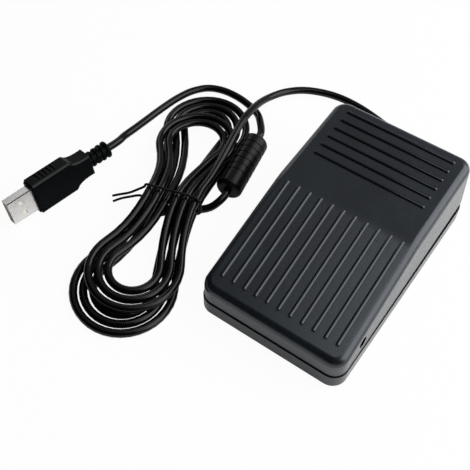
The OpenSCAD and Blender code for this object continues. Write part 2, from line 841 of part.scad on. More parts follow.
// Point of the hank after a number of turns: the upper layer spirals in, goes down along a run on the left,
// and the lower layer spirals out again
hank_right = [cos(hank_turn), sin(hank_turn)];
hank_up = [-sin(hank_turn), cos(hank_turn)];
function hank_point(turn) =
    let (layer = 1 - smooth((hank_steps * (turn - hank_mid) + run_steps) / (2 * run_steps)),
         at = loop_point(hank_steps * (turn - floor(turn)), layer),
         out = hank_pitch * abs(turn - hank_mid),
         along = at[1] + out * at[3],
         bend = along / hank_bow_r * 180 / PI,
         reach = hank_bow_r + at[0] + out * at[2],
         lift = turn > hank_total - 0.25 ? 0 : waist_lift * exp(-pow(along / waist_length, 2)),
         xy = hank_at + (reach * cos(bend) - hank_bow_r) * hank_right + reach * sin(bend) * hank_up)
    [xy[0], xy[1], cord_floor_z + layer_rise * layer + lift];

hank_count = floor(hank_total * hank_steps);
hank_coil = [for (i = [0 : hank_count]) hank_point(i / hank_steps)];
// The lead comes to the waist beside its inner strand and a little from above
hank_in = unit([0.2, -0.97, -0.1]);
hank_out = unit(hank_coil[hank_count] - hank_coil[hank_count - 1]);
hank_start = hank_coil[0] - cord_d * hank_in;
hank_end = hank_coil[hank_count] + cord_d * hank_out;
hank_route = concat([hank_start], hank_coil, [hank_end]);

// Least gap of the hank to itself, on points at its rings and half way between them
hank_fine = [for (i = [0 : hank_count - 1], t = [0, 0.5]) hank_coil[i] * (1 - t) + hank_coil[i + 1] * t];
hank_gap = min([for (i = [0 : len(hank_fine) - 1], j = [i + hank_steps : 1 : len(hank_fine) - 1])
    norm(hank_fine[i] - hank_fine[j])]) - cord_d;
echo("least gap of the hank to itself", hank_gap);  // cable_hank

// Free stretch from inside the tray over the floor to the hank
pedal_route = concat(
    [[0, cord_end_y, exit_z], [0, clamp_y, exit_z], [0, rear_y, exit_z], [0, tail_y, exit_z]],
    [[-1, 66.5, 4.4], [-4, 71, 3], [-10, 74.6, 2.1], [-18, 77, 1.9], [-27, 79.2, 1.9], [-37, 80.7, 1.9],
     [-47, 80.6, 1.9], [-56, 78.4, 1.9], [-64, 74.4, 1.9], [-70, 68, 2.3], [-73, 60, 3.8], [-73.4, 52, 6.6],
     [-72.4, 44, 9.4], [-71, 35, 11.6], [-68.9, 25, 12.2], [-66.2, 14.5, 12.4], [-63.8, 4.5, 12.5],
     [-62.1, -4.5, 12.6]],
    [hank_start - cord_d * hank_in, hank_start]);

// Free stretch from the hank under its waist, through the ferrite and round the top of the hank to the plug
plug_route = concat(
    [hank_end, hank_end + cord_d * hank_out],
    [[-75.5, -27, 1.9], [-69.5, -20.5, 1.9], [-63, -15.5, 1.9], [-57, -10.8, 3.4]],
    [ferrite_start - 4 * ferrite_dir, ferrite_start, ferrite_start + ferrite_l / 2 * ferrite_dir,
     ferrite_end, ferrite_end + 5 * ferrite_dir],
    [[-67, 42.5, 4.4], [-72.5, 48, 2.6], [-80, 51.2, 1.9], [-88, 52.4, 1.9], [-96, 51.8, 1.9],
     [-102.5, 49, 1.9], [-107.5, 43, 1.9], [-110.5, 35, 1.9], [-112.2, 25, 2.2], [-112.6, 15, 3.4],
     [-112.4, 5, 5.4], [-112.1, -3, 7.3]],
    [plug_entry - 2 * cord_d * plug_dir, plug_entry + relief_seat * plug_dir]);

module usb_lead_pedal() {
    color(black) tube(pedal_route, cord_r, lead_sides);
}

module cable_hank() {
    color(black) tube(hank_route, cord_r, hank_sides);
}

module usb_lead_plug() {
    color(black) tube(plug_route, cord_r, lead_sides);
}

// Tie: one wire round the waist, its ends twisted on the left and left as two tails
function tie_point(p) =
    let (xy = hank_at + p[0] * hank_right + p[1] * hank_up) [xy[0], xy[1], p[2]];
tie_off = cord_r + tie_r + tie_clear;
// The outermost strands of both layers at the waist
tie_low_z = cord_floor_z + waist_lift;
tie_high_z = tie_low_z + layer_rise;
tie_high_left = -waist_half - upper_turns * hank_pitch;
tie_high_right = waist_half + hank_mid * hank_pitch;
tie_low_left = -waist_half - (lower_turns - 1) * hank_pitch;
tie_low_right = waist_half + (lower_turns - 0.5) * hank_pitch;
// Turn of the slanted sides from upright
tie_left_slant = atan((tie_high_left - tie_low_left) / layer_rise);
tie_right_slant = atan((tie_low_right - tie_high_right) / layer_rise);
// How far the wire steps along the hank at each corner, where it starts, and the points of a corner
tie_step = 0.6;
tie_first = 1.2;
tie_points = 4;
// Round the waist from the upper left over the top, as arcs about the four outermost strands
tie_corners = [[tie_high_left, tie_high_z, 180 - tie_left_slant, 90],
               [tie_high_right, tie_high_z, 90, tie_right_slant],
               [tie_low_right, tie_low_z, tie_right_slant, -90],
               [tie_low_left, tie_low_z, 270, 180 - tie_left_slant]];
tie_loop = [for (i = [0 : 3], k = [0 : tie_points - 1])
    let (c = tie_corners[i], t = k / (tie_points - 1), a = c[2] + (c[3] - c[2]) * t)
    [c[0] + tie_off * cos(a), tie_first - tie_step * (i + t), c[1] + tie_off * sin(a)]];
tie_route = concat(
    [[-26.2, -3.2, 4.5], [-22.8, -2.6, 6.2], [-18.4, -1.7, 8.2], [-14.6, -0.2, 10.4]],
    tie_loop,
    [[-13.5, -2.2, 8.9], [-17.5, -3.1, 7.4], [-21.5, -4, 5.6], [-25.1, -5.3, 3.6]]);

module twist_tie() {
    color(black) tube([for (p = tie_route) tie_point(p)], tie_r, 6, [hank_up[0], hank_up[1], 0.05]);
}

// Ferrite

module along_ferrite() {
    translate(ferrite_start) rotate([0, 0, ferrite_turn]) rotate([-90, 0, 0]) children();
}

module ferrite_sleeve() {
    rib_room = ferrite_l / (ferrite_ribs + 3);
    rib_depth = 0.35;
    r = ferrite_d / 2;
    color(black) along_ferrite() rotate_extrude() difference() {
        union() {
            translate([cord_r + cord_clear, 0])
                square([r - ferrite_end_r - cord_r - cord_clear, ferrite_l]);
            translate([cord_r + cord_clear, ferrite_end_r])
                square([r - cord_r - cord_clear, ferrite_l - 2 * ferrite_end_r]);
            for (z = [ferrite_end_r, ferrite_l - ferrite_end_r])
                translate([r - ferrite_end_r, z]) circle(ferrite_end_r);
        }
        for (i = [1 : ferrite_ribs])
            translate([r - rib_depth, (i + 1) * rib_room]) square([rib_depth + sink, rib_room / 2]);
        translate([cord_r + cord_clear + ferrite_wall, ferrite_wall + ferrite_end_r])
            square([r - cord_r - cord_clear - 2 * ferrite_wall,
                    ferrite_l - 2 * ferrite_wall - 2 * ferrite_end_r]);
    }
}

module ferrite_core() {
    color("#55585c") along_ferrite() translate([0, 0, ferrite_wall + ferrite_end_r]) difference() {
        cylinder(r = ferrite_d / 2 - ferrite_wall, h = ferrite_l - 2 * ferrite_wall - 2 * ferrite_end_r);
        translate([0, 0, -sink]) cylinder(r = cord_r + cord_clear + ferrite_wall, h = ferrite_l);
    }
}

// Plug, along its own X from the cable to the tip, its broad face towards its own Y

module at_plug() {
    translate(plug_entry) rotate([0, 0, plug_heading]) rotate([plug_lean, 0, 0]) children();
}

module plug_strain_relief() {
    step = relief_l / (2 * relief_rings);
    color(black) at_plug() rotate([0, 90, 0]) difference() {
        union() {
            cylinder(d = relief_core_d, h = relief_l);
            for (i = [0 : relief_rings - 1])
                translate([0, 0, 2 * i * step])
                    cylinder(d = relief_d[1] + (relief_d[0] - relief_d[1]) * i / (relief_rings - 1),
                             h = step);
        }
        translate([0, 0, -sink]) cylinder(r = cord_r + cord_clear, h = relief_seat + sink);
    }
}

// Outline of the grip seen on its broad face: a wide front, a hollow shoulder and a narrow neck
module grip_outline() {
    shoulder_r = (grip_size[2] - neck_w) / 2;
    rear_l = grip_size[0] - front_l;
    corner = 1.5;
    translate([rear_l + front_l / 2, 0]) plan(front_l, grip_size[2], corner);
    translate([grip_size[0] / 2, 0]) plan(grip_size[0], neck_w, corner);
    difference() {
        translate([rear_l - shoulder_r, -grip_size[2] / 2]) square([shoulder_r + corner, grip_size[2]]);
        for (side = [-1, 1])
            translate([rear_l - shoulder_r, side * grip_size[2] / 2]) circle(shoulder_r);
    }
}

module plug_overmould() {
    chamfer = grip_chamfer;
    front = relief_l + grip_size[0];
    color(black) at_plug() difference() {
        translate([relief_l, grip_size[1] / 2, 0]) rotate([90, 0, 0])
            linear_extrude(grip_size[1]) grip_outline();
        translate([front - shell_seat, -shell_size[1] / 2, -shell_size[2] / 2])
            cube([shell_seat + sink, shell_size[1], shell_size[2]]);
        for (side = [-1, 1], i = [0 : groove_count - 1])
            translate([front - groove_from_front - i * groove_pitch - groove_w,
                       groove_edge - grip_size[1] / 2, side * grip_size[2] / 2 - groove_depth])
                cube([groove_w, grip_size[1] - 2 * groove_edge, 2 * groove_depth]);
        for (y = [-1, 1], z = [-1, 1])
            translate([relief_l - sink, y * grip_size[1] / 2, z * grip_size[2] / 2]) rotate([45, 0, 0])
                translate([0, -chamfer / sqrt(2), -chamfer / sqrt(2)])
                    cube([grip_size[0] + 2 * sink, chamfer * sqrt(2), chamfer * sqrt(2)]);
    }
}

module usb_shell() {
    back = relief_l + grip_size[0] - shell_seat;
    length = shell_seat + shell_size[0];
    color(steel) at_plug() difference() {
        translate([back, -shell_size[1] / 2, -shell_size[2] / 2])
            cube([length, shell_size[1], shell_size[2]]);
        translate([back + shell_t, shell_t - shell_size[1] / 2, shell_t - shell_size[2] / 2])
            cube([length, shell_size[1] - 2 * shell_t, shell_size[2] - 2 * shell_t]);
        for (z = [-1, 1])
            translate([back + length - window_from_tip, -shell_size[1],
                       z * window_span / 2 - window_size / 2])
                cube([window_size, 2 * shell_size[1], window_size]);
    }
}

// Insulating tongue against the shell's rear wall and along one broad side
module usb_tongue() {
    back = relief_l + grip_size[0] - shell_seat + shell_t;
    room = [shell_size[1] - 2 * shell_t, shell_size[2] - 2 * shell_t];
    color("ivory") at_plug() translate([back, room[0] / 2 - tongue_t, -room[1] / 2])
        cube([shell_seat + shell_size[0] - shell_t - tongue_short, tongue_t, room[1]]);
}

module usb_contacts() {
    contact = [7.5, 0.3, 1.1];
    pitch = 2.2;
    set_back = 1;
    tip = relief_l + grip_size[0] + shell_size[0] - tongue_short - set_back;
    face = shell_size[1] / 2 - shell_t - tongue_t - contact[1];
    color(brass) at_plug() for (i = [-1.5 : 1.5])
        translate([tip - contact[0], face, i * pitch - contact[2] / 2])
            cube(contact);
}

base_tray();
rubber_feet();
hinge_pin();
pedal_cover();
circuit_board();
board_screws();
control_chip();
crystal_can();
board_capacitors();
wire_header();
switch_body();
switch_terminals();
switch_plunger();
switch_screws();
switch_wires();
cable_wires();
cord_clamp();
clamp_screws();
spring_cap();
return_spring();
cable_grommet();
usb_lead_pedal();
cable_hank();
usb_lead_plug();
twist_tie();
ferrite_sleeve();
ferrite_core();
plug_overmould();
plug_strain_relief();
usb_shell();
usb_tongue();
usb_contacts();
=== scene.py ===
"""Looks of a foot pedal switch on its cable: camera, light, finishes and the pieces that stand for solids.

Sizes in the classes are in millimetres, and every mesh is in metres in the frame of the solids: +Y to the
toe, +X to the right of the foot, +Z up, the floor at zero.
"""
import logging
import math
from contextlib import contextmanager
from dataclasses import dataclass, field
from enum import Enum
from functools import cached_property
from typing import Callable, Dict, Iterator, List, Optional, Sequence, Tuple, Union

import bmesh
import bpy
from mathutils import Matrix, Vector


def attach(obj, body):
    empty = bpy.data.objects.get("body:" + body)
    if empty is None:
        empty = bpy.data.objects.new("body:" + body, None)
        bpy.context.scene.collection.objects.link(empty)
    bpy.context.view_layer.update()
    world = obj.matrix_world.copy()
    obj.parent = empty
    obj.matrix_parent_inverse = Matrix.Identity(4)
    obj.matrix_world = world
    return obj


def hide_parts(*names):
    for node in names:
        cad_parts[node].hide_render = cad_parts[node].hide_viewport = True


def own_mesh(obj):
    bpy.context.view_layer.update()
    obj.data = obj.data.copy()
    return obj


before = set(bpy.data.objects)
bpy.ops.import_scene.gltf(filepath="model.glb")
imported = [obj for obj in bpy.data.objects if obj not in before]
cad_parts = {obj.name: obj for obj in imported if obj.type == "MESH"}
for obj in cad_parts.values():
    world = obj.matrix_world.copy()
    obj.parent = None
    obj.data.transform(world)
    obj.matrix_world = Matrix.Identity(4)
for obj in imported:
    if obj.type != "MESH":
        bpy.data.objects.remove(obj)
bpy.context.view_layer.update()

MM = 0.001
log = logging.getLogger("foot_pedal")

Point = Tuple[float, float, float]
Colour = Tuple[float, float, float]
Piece = bpy.types.Object
Material = bpy.types.Material
Socket = bpy.types.NodeSocket
Term = Union[Socket, float]

# Least share along an axis of a face's normal, or of an edge, that counts as lying along it
FACING = 0.9

# Stops that spread the noise from its usual low and high levels to 0 and 1
NOISE_ENDS = ((0.35, 0.0), (0.65, 1.0))

# How far a cutter stands out past the faces that it cuts, in millimetres
PAST = 1.0


def mm(*lengths: float) -> Tuple[float, ...]:
    """Millimetres as metres."""
    return tuple(length * MM for length in lengths)


def linear(shade: Colour) -> Tuple[float, float, float, float]:
    """A colour written as screen values from 0 to 255, as the linear colour a shader takes.

    Args:
        shade: red, green and blue as seen on a screen.

    Returns:
        The linear red, green, blue and an alpha of one.
    """
    parts = []
    for level in shade:
        part = level / 255
        parts.append(part / 12.92 if part <= 0.04045 else ((part + 0.055) / 1.055) ** 2.4)
    return (parts[0], parts[1], parts[2], 1.0)


WHITE = linear((255, 255, 255))


def scaled(shade: Colour, share: float) -> Colour:
    """A colour with every level times a share."""
    return tuple(level * share for level in shade)


def shift(*lengths: float) -> Matrix:
    """A move by millimetres."""
    return Matrix.Translation(mm(*lengths))


def spin(degrees: float, axis: str) -> Matrix:
    """A turn about an axis through the origin."""
    return Matrix.Rotation(math.radians(degrees), 4, axis)


def hang(name: str, data: bpy.types.ID, place: Sequence[float] = (0, 0, 0),
         view: Optional[Vector] = None) -> Piece:
    """Put an object into the scene.

    Args:
        name: the object's name.
        data: its mesh, curve, camera or light.
        place: where it is, in metres.
        view: the direction in which a camera or a light looks.

    Returns:
        The object.
    """
    thing = bpy.data.objects.new(name, data)
    thing.location = place
    if view is not None:
        thing.rotation_mode = "QUATERNION"
        thing.rotation_quaternion = view.to_track_quat("-Z", "Y")
    bpy.context.scene.collection.objects.link(thing)
    return thing


class NodeGraph:
    """A node tree under construction."""

    def __init__(self, tree: bpy.types.NodeTree) -> None:
        """Start from an empty tree."""
        self.tree = tree
        tree.nodes.clear()

    def node(self, kind: str, settings: Optional[Dict[str, object]] = None,
             inputs: Optional[Dict[Union[int, str], object]] = None,
             output: Union[int, str] = 0) -> Optional[Socket]:
        """Add a node, set it up and fill its sockets.

        Args:
            kind: the node's type.
            settings: its properties, set before the sockets.
            inputs: a constant or a link for each socket, by name or place.
            output: the socket to hand back.

        Returns:
            The chosen output, if the node has any.
        """
        made = self.tree.nodes.new(kind)
        for key, setting in (settings or {}).items():
            setattr(made, key, setting)
        for key, content in (inputs or {}).items():
            self.fill(made.inputs[key], content)
        return made.outputs[output] if made.outputs else None

    def fill(self, socket: Socket, content: object) -> None:
        """Set a socket to a constant, or link it.

        Args:
            socket: the socket.
            content: the constant, or the output to link.
        """
        if isinstance(content, Socket):
            self.tree.links.new(content, socket)
        else:
            socket.default_value = content

    def math(self, operation: str, *terms: Term) -> Socket:
        """Numbers joined by a Math node."""
        return self.node("ShaderNodeMath", {"operation": operation}, dict(enumerate(terms)))

    def weigh(self, first: Socket, second: Socket, share: float) -> Socket:
        """A share of the first value and the rest of the second one."""
        return self.math("MULTIPLY_ADD", first, share, self.math("MULTIPLY", second, 1 - share))

    def place(self) -> Socket:
        """The object's own coordinates, in metres."""
        return self.node("ShaderNodeTexCoord", output="Object")

    def noise(self, per_mm: float, detail: float = 2.0, rough: float = 0.5) -> Socket:
        """Soft noise with that many waves in a millimetre, from about 0.3 to 0.7."""
        return self.node("ShaderNodeTexNoise", {}, {"Vector": self.place(), "Scale": per_mm / MM,
                                                    "Detail": detail, "Roughness": rough})

    def ramp(self, value: Socket, *stops: Tuple[float, float]) -> Socket:
        """Send a value through grey stops.

        Args:
            value: the value.
            stops: the place and the level of each stop.

        Returns:
            The level.
        """
        level = self.node("ShaderNodeValToRGB", {}, {"Fac": value})
        elements = level.node.color_ramp.elements
        while len(elements) < len(stops):
            elements.new(0.5)
        for element, (place, grey) in zip(elements, stops):
            element.position = place
            element.color = (grey, grey, grey, 1.0)
        return level

    def ray(self, kind: str) -> Socket:
        """One for a ray of this kind, else zero."""
        return self.node("ShaderNodeLightPath", output=kind)


class Recipe(NodeGraph):
    """One material under construction, with its Principled shader."""

    def __init__(self, name: str) -> None:
        """Start a material.

        Args:
            name: the material's name.
        """
        self.material = bpy.data.materials.new(name)
        self.material.use_nodes = True
        super().__init__(self.material.node_tree)
        self.shader = self.tree.nodes.new("ShaderNodeBsdfPrincipled")
        self.out = self.tree.nodes.new("ShaderNodeOutputMaterial")
        self.tree.links.new(self.shader.outputs[0], self.out.inputs["Surface"])

    def give(self, socket: str, content: object) -> None:
        """Set a socket of the shader to a constant, or link it to a value."""
        self.fill(self.shader.inputs[socket], content)

    def relief(self, height: Socket, depth_mm: float) -> None:
        """Raise the surface by a height from 0 to 1 that stands for a depth."""
        self.give("Normal", self.node("ShaderNodeBump", {}, {"Height": height, "Distance": depth_mm * MM,
                                                             "Strength": 1.0}))

    def mottled(self, factor: Socket, first: Colour, second: Colour) -> None:
        """Colour the surface between two screen colours."""
        self.give("Base Color", self.node("ShaderNodeMix", {"data_type": "RGBA"},
                                          {0: factor, 6: linear(first), 7: linear(second)}, 2))

    def gloss(self, middle: float, *waves: Tuple[Socket, float]) -> None:
        """Vary the roughness.

        Args:
            middle: the roughness that it varies about.
            waves: noises, and how far each of them goes.
        """
        rough: Term = middle - sum(spread for _, spread in waves) / 2
        for noise, spread in waves:
            rough = self.math("MULTIPLY_ADD", noise, spread, rough)
        self.give("Roughness", rough)


@dataclass(frozen=True)
class MouldedPlastic:
    """Plastic with a fine eroded grain from its mould."""

    name: str
    shade: Colour
    roughness: float
    specular: float
    grain_per_mm: float
    grain_depth: float
    # Tint of the reflections; a cool tint here stands in for cool light.
    reflection_tint: Colour = (255, 255, 255)
    coat: float = 0.0
    mottle: float = 0.12
    cloud_per_mm: float = 0.05
    cloud_share: float = 0.7
    cloud_gloss: float = 0.18
    grain_gloss: float = 0.12

    def make(self) -> Material:
        """Mix the material, with its cloudy colour, uneven gloss and grain.

        Returns:
            The material.
        """
        recipe = Recipe(self.name)
        cloud = recipe.noise(self.cloud_per_mm, detail=3.0)
        grain = recipe.noise(self.grain_per_mm, detail=3.0, rough=0.65)
        spread = recipe.ramp(recipe.weigh(cloud, grain, self.cloud_share), *NOISE_ENDS)
        recipe.mottled(spread, scaled(self.shade, 1 - self.mottle), scaled(self.shade, 1 + self.mottle))
        recipe.gloss(self.roughness, (cloud, self.cloud_gloss), (grain, self.grain_gloss))
        recipe.give("Specular IOR Level", self.specular)
        recipe.give("Specular Tint", linear(self.reflection_tint))
        recipe.give("Coat Weight", self.coat)
        recipe.give("Coat Roughness", self.roughness)
        recipe.relief(grain, self.grain_depth)
        return recipe.material


@dataclass(frozen=True)
class CableJacket:
    """Smooth soft jacket with faint drawing waves."""

    name: str
    shade: Colour
    roughness: float
    specular: float
    wave_per_mm: float = 0.16
    skin_per_mm: float = 1.4
    wave_share: float = 0.7
    wave_gloss: float = 0.2
    skin_gloss: float = 0.1
    darkest: float = 0.8
    depth: float = 0.03

    def make(self) -> Material:
        """Mix the material, with long waves in its gloss and surface.

        Returns:
            The material.
        """
        recipe = Recipe(self.name)
        wave = recipe.noise(self.wave_per_mm)
        skin = recipe.noise(self.skin_per_mm)
        recipe.mottled(wave, scaled(self.shade, self.darkest), self.shade)
        recipe.gloss(self.roughness, (wave, self.wave_gloss), (skin, self.skin_gloss))
        recipe.give("Specular IOR Level", self.specular)
        recipe.relief(recipe.weigh(wave, skin, self.wave_share), self.depth)
        return recipe.material


@dataclass(frozen=True)
class BareMetal:
    """Metal with fine drawing or rolling lines along one axis."""

    name: str
    shade: Colour
    roughness: float
    lines: Point
    streak_per_mm: float = 1.2
    cloud_per_mm: float = 0.12
    streak_gloss: float = 0.16
    cloud_gloss: float = 0.1
    dullest: float = 0.9
    depth: float = 0.004

    def make(self) -> Material:
        """Mix the material, with streaks that are long where the line scale is small.

        Returns:
            The material.
        """
        recipe = Recipe(self.name)
        stretched = recipe.node("ShaderNodeMapping", {}, {"Vector": recipe.place(), "Scale": self.lines})
        streak = recipe.node("ShaderNodeTexNoise", {}, {"Vector": stretched, "Detail": 3.0,
                                                        "Scale": self.streak_per_mm / MM})
        cloud = recipe.noise(self.cloud_per_mm)
        recipe.mottled(cloud, scaled(self.shade, self.dullest), self.shade)
        recipe.give("Metallic", 1.0)
        recipe.gloss(self.roughness, (streak, self.streak_gloss), (cloud, self.cloud_gloss))
        recipe.relief(streak, self.depth)
        return recipe.material


@dataclass(frozen=True)
class BoardLaminate:
    """Solder mask over copper tracks."""

    name: str
    shade: Colour
    track: Colour
    roughness: float = 0.32
    lanes_per_mm: float = 0.35
    lane: Tuple[float, float] = (1.6, 0.7)
    gap: float = 0.12
    cloud_per_mm: float = 0.3
    cloud_gloss: float = 0.2
    depth: float = 0.03

    def make(self) -> Material:
        """Mix the material, with square lanes of track that show through the mask.

        Returns:
            The material.
        """
        recipe = Recipe(self.name)
        cells = recipe.node("ShaderNodeTexBrick", {"offset": 0.5, "squash": 1.0},
                            {"Vector": recipe.place(), "Scale": self.lanes_per_mm / MM,
                             "Mortar Size": self.gap, "Brick Width": self.lane[0],
                             "Row Height": self.lane[1]}, "Fac")
        recipe.mottled(cells, self.shade, self.track)
        recipe.gloss(self.roughness, (recipe.noise(self.cloud_per_mm), self.cloud_gloss))
        recipe.relief(cells, self.depth)
        return recipe.material


# Cool tint for the charcoal plastics' reflections: painted light colour, standing in for cool light in the
# room.
COOL_LIGHT_TINT: Colour = (234, 245, 255)


class Finish(Enum):
    """The finishes of the pedal, the cable and what is inside."""

    COVER = MouldedPlastic("cover_charcoal", (20, 24, 29), 0.28, 0.5, 2.2, 0.02, COOL_LIGHT_TINT, 0.4)
    # Ribs in a darker, glossier copy of the cover plastic: the darker colour is painted shade on their
    # flanks.
    RIB = MouldedPlastic("rib_charcoal", (15, 18, 22), 0.08, 0.5, 2.2, 0.005, COOL_LIGHT_TINT, 0.4)
    TRAY = MouldedPlastic("tray_charcoal", (17, 20, 24), 0.22, 0.35, 2.2, 0.02, COOL_LIGHT_TINT, 0.25)
    # Near-black finish for the walls of the hinge holes: painted shade inside the holes.
    HOLE = MouldedPlastic("hole_black", (4, 5, 6), 0.8, 0.0, 2.6, 0.01)
    RUBBER = MouldedPlastic("rubber_black", (16, 16, 16), 0.75, 0.3, 3.0, 0.06)
    JACKET = CableJacket("jacket_black", (6, 6, 8), 0.2, 0.3)
    TIE = CableJacket("tie_black", (8, 8, 8), 0.5, 0.25)
    PLUG = MouldedPlastic("plug_black", (5, 8, 9), 0.35, 0.05, 2.6, 0.02)
    # Lighter, glossier copy of the plug plastic for the chamfers: a painted highlight along the grip's
    # edges.
    PLUG_EDGE = MouldedPlastic("plug_edge", (7, 10, 11), 0.28, 0.17, 2.6, 0.01)
    SLEEVE = MouldedPlastic("sleeve_black", (6, 7, 9), 0.3, 0.2, 2.6, 0.01)
    SHELL = BareMetal("shell_nickel", (250, 248, 246), 0.42, (1.0, 0.1, 1.0))
    STEEL = BareMetal("steel_plain", (196, 197, 198), 0.3, (0.1, 1.0, 1.0))
    PIN = BareMetal("pin_blackened", (40, 41, 43), 0.45, (0.1, 1.0, 1.0))
    BRASS = BareMetal("brass_plated", (212, 170, 92), 0.28, (1.0, 0.1, 1.0))
    FERRITE = MouldedPlastic("ferrite_grey", (64, 66, 68), 0.6, 0.5, 1.6, 0.06)
    BOARD = BoardLaminate("board_green", (24, 92, 50), (34, 118, 66))
    # Black of the control chip, also used on the walls of the shell's seam as painted shade.
    CHIP = MouldedPlastic("chip_black", (20, 20, 21), 0.55, 0.4, 3.0, 0.02)
    SLEEVED_CAN = MouldedPlastic("can_blue", (28, 40, 68), 0.3, 0.5, 1.0, 0.01)
    IVORY = MouldedPlastic("plastic_ivory", (222, 218, 204), 0.4, 0.5, 2.0, 0.02)
    SWITCH = MouldedPlastic("switch_grey", (52, 54, 58), 0.5, 0.5, 2.4, 0.03)
    RED = MouldedPlastic("plunger_red", (178, 26, 32), 0.35, 0.5, 2.0, 0.01)
    YELLOW = CableJacket("wire_yellow", (214, 172, 34), 0.4, 0.5)
    CORES = CableJacket("wire_red", (160, 34, 30), 0.4, 0.5)
    ACETAL = MouldedPlastic("cap_white", (214, 214, 208), 0.38, 0.5, 2.0, 0.01)

    @cached_property
    def material(self) -> Material:
        """The material of this finish, made when it is first asked for."""
        return self.value.make()


class Lamp(Enum):
    """The lamps of the studio: place, size in metres and level, each aimed at the pedal."""

    RIGHT_BACK = ((0.53, 0.24, 0.47), (1.3, 0.92), 2.7)
    OVERHEAD = ((0.03, -0.01, 0.75), (0.28, 0.32), 1.8)
    LEFT_BACK = ((-0.64, 0.34, 0.34), (0.28, 0.34), 1.3)


@dataclass
class Studio:
    """Camera, floor, world and lamps."""

    azimuth: float = 35.25
    elevation: float = 54.4
    distance: float = 345.4
    target: Point = (-41.1, -14.9, 0.0)
    lens: float = 61.4
    sensor: float = 36.0
    nearest: float = 0.01
    floor_side: float = 6.0
    floor_drop: float = 0.2
    floor_shade: float = 0.94
    shadow_share: float = 0.05
    mirror_share: float = 0.86
    sky: float = 0.28
    sky_side: Point = (0.3, 0.78, 0.55)
    sky_levels: Tuple[Tuple[float, float], ...] = ((0.0, 0.02), (0.18, 0.05), (0.42, 0.85), (1.0, 1.0))
    aim: Point = (-20.0, -10.0, 10.0)

    def camera(self) -> None:
        """Set up the camera where the photographer stood."""
        side, lift = math.radians(self.azimuth), math.radians(self.elevation)
        back = Vector((math.sin(side) * math.cos(lift), -math.cos(side) * math.cos(lift), math.sin(lift)))
        eye = bpy.data.cameras.new("eye")
        eye.lens = self.lens
        eye.sensor_width = self.sensor
        eye.clip_start = self.nearest
        place = Vector(mm(*self.target)) + back * self.distance * MM
        bpy.context.scene.camera = hang("eye", eye, place, -back)

    def floor(self) -> None:
        """Lay a wide white floor that looks white and keeps a faint shadow."""
        Bench.clear()
        bpy.ops.mesh.primitive_plane_add(size=self.floor_side, location=mm(0, 0, -self.floor_drop))
        floor = bpy.context.object
        floor.name = "floor"
        recipe = Recipe("floor_white")
        recipe.give("Base Color", (self.floor_shade, self.floor_shade, self.floor_shade, 1.0))
        recipe.give("Roughness", 1.0)
        recipe.give("Specular IOR Level", 0.0)
        glow = recipe.node("ShaderNodeEmission", {}, {"Color": WHITE, "Strength": 1.0})
        seen = recipe.math("MAXIMUM", recipe.ray("Is Camera Ray"), recipe.ray("Is Transmission Ray"))
        mirrored = recipe.math("MULTIPLY", recipe.ray("Is Glossy Ray"), 1 - self.mirror_share)
        share = recipe.math("MULTIPLY_ADD", seen, 1 - self.shadow_share, mirrored)
        mixed = recipe.node("ShaderNodeMixShader", {}, {0: share, 1: recipe.shader.outputs[0], 2: glow})
        recipe.fill(recipe.out.inputs["Surface"], mixed)
        floor.data.materials.append(recipe.material)

    def world(self) -> None:
        """A white world to look at, which lights from above and behind and is dark towards the front."""
        world = bpy.data.worlds.new("studio")
        bpy.context.scene.world = world
        world.use_nodes = True
        graph = NodeGraph(world.node_tree)
        side = graph.node("ShaderNodeVectorMath", {"operation": "DOT_PRODUCT"},
                          {0: graph.node("ShaderNodeTexCoord", output="Generated"),
                           1: Vector(self.sky_side).normalized()}, "Value")
        level = graph.ramp(side, *self.sky_levels)
        lit = graph.node("ShaderNodeBackground", {}, {"Color": level, "Strength": self.sky})
        white = graph.node("ShaderNodeBackground", {}, {"Color": WHITE})
        mixed = graph.node("ShaderNodeMixShader", {}, {0: graph.ray("Is Camera Ray"), 1: lit, 2: white})
        graph.node("ShaderNodeOutputWorld", {}, {"Surface": mixed})

    def lamps(self) -> None:
        """Hang the soft lamps."""
        for lamp in Lamp:
            place, size, level = lamp.value
            data = bpy.data.lights.new(lamp.name.lower(), "AREA")
            data.shape = "RECTANGLE"
            data.size, data.size_y = size
            data.energy = level * math.pi * size[0] * size[1]
            hang(data.name, data, place, Vector(mm(*self.aim)) - Vector(place))

    def build(self) -> None:
        """Make the studio and choose the plain view."""
        self.camera()
        self.floor()
        self.world()
        self.lamps()
        bpy.context.scene.view_settings.view_transform = "Standard"


class Part(Enum):
    """What a pick in edit mode chooses among."""

    VERT = "verts"
    EDGE = "edges"
    FACE = "faces"


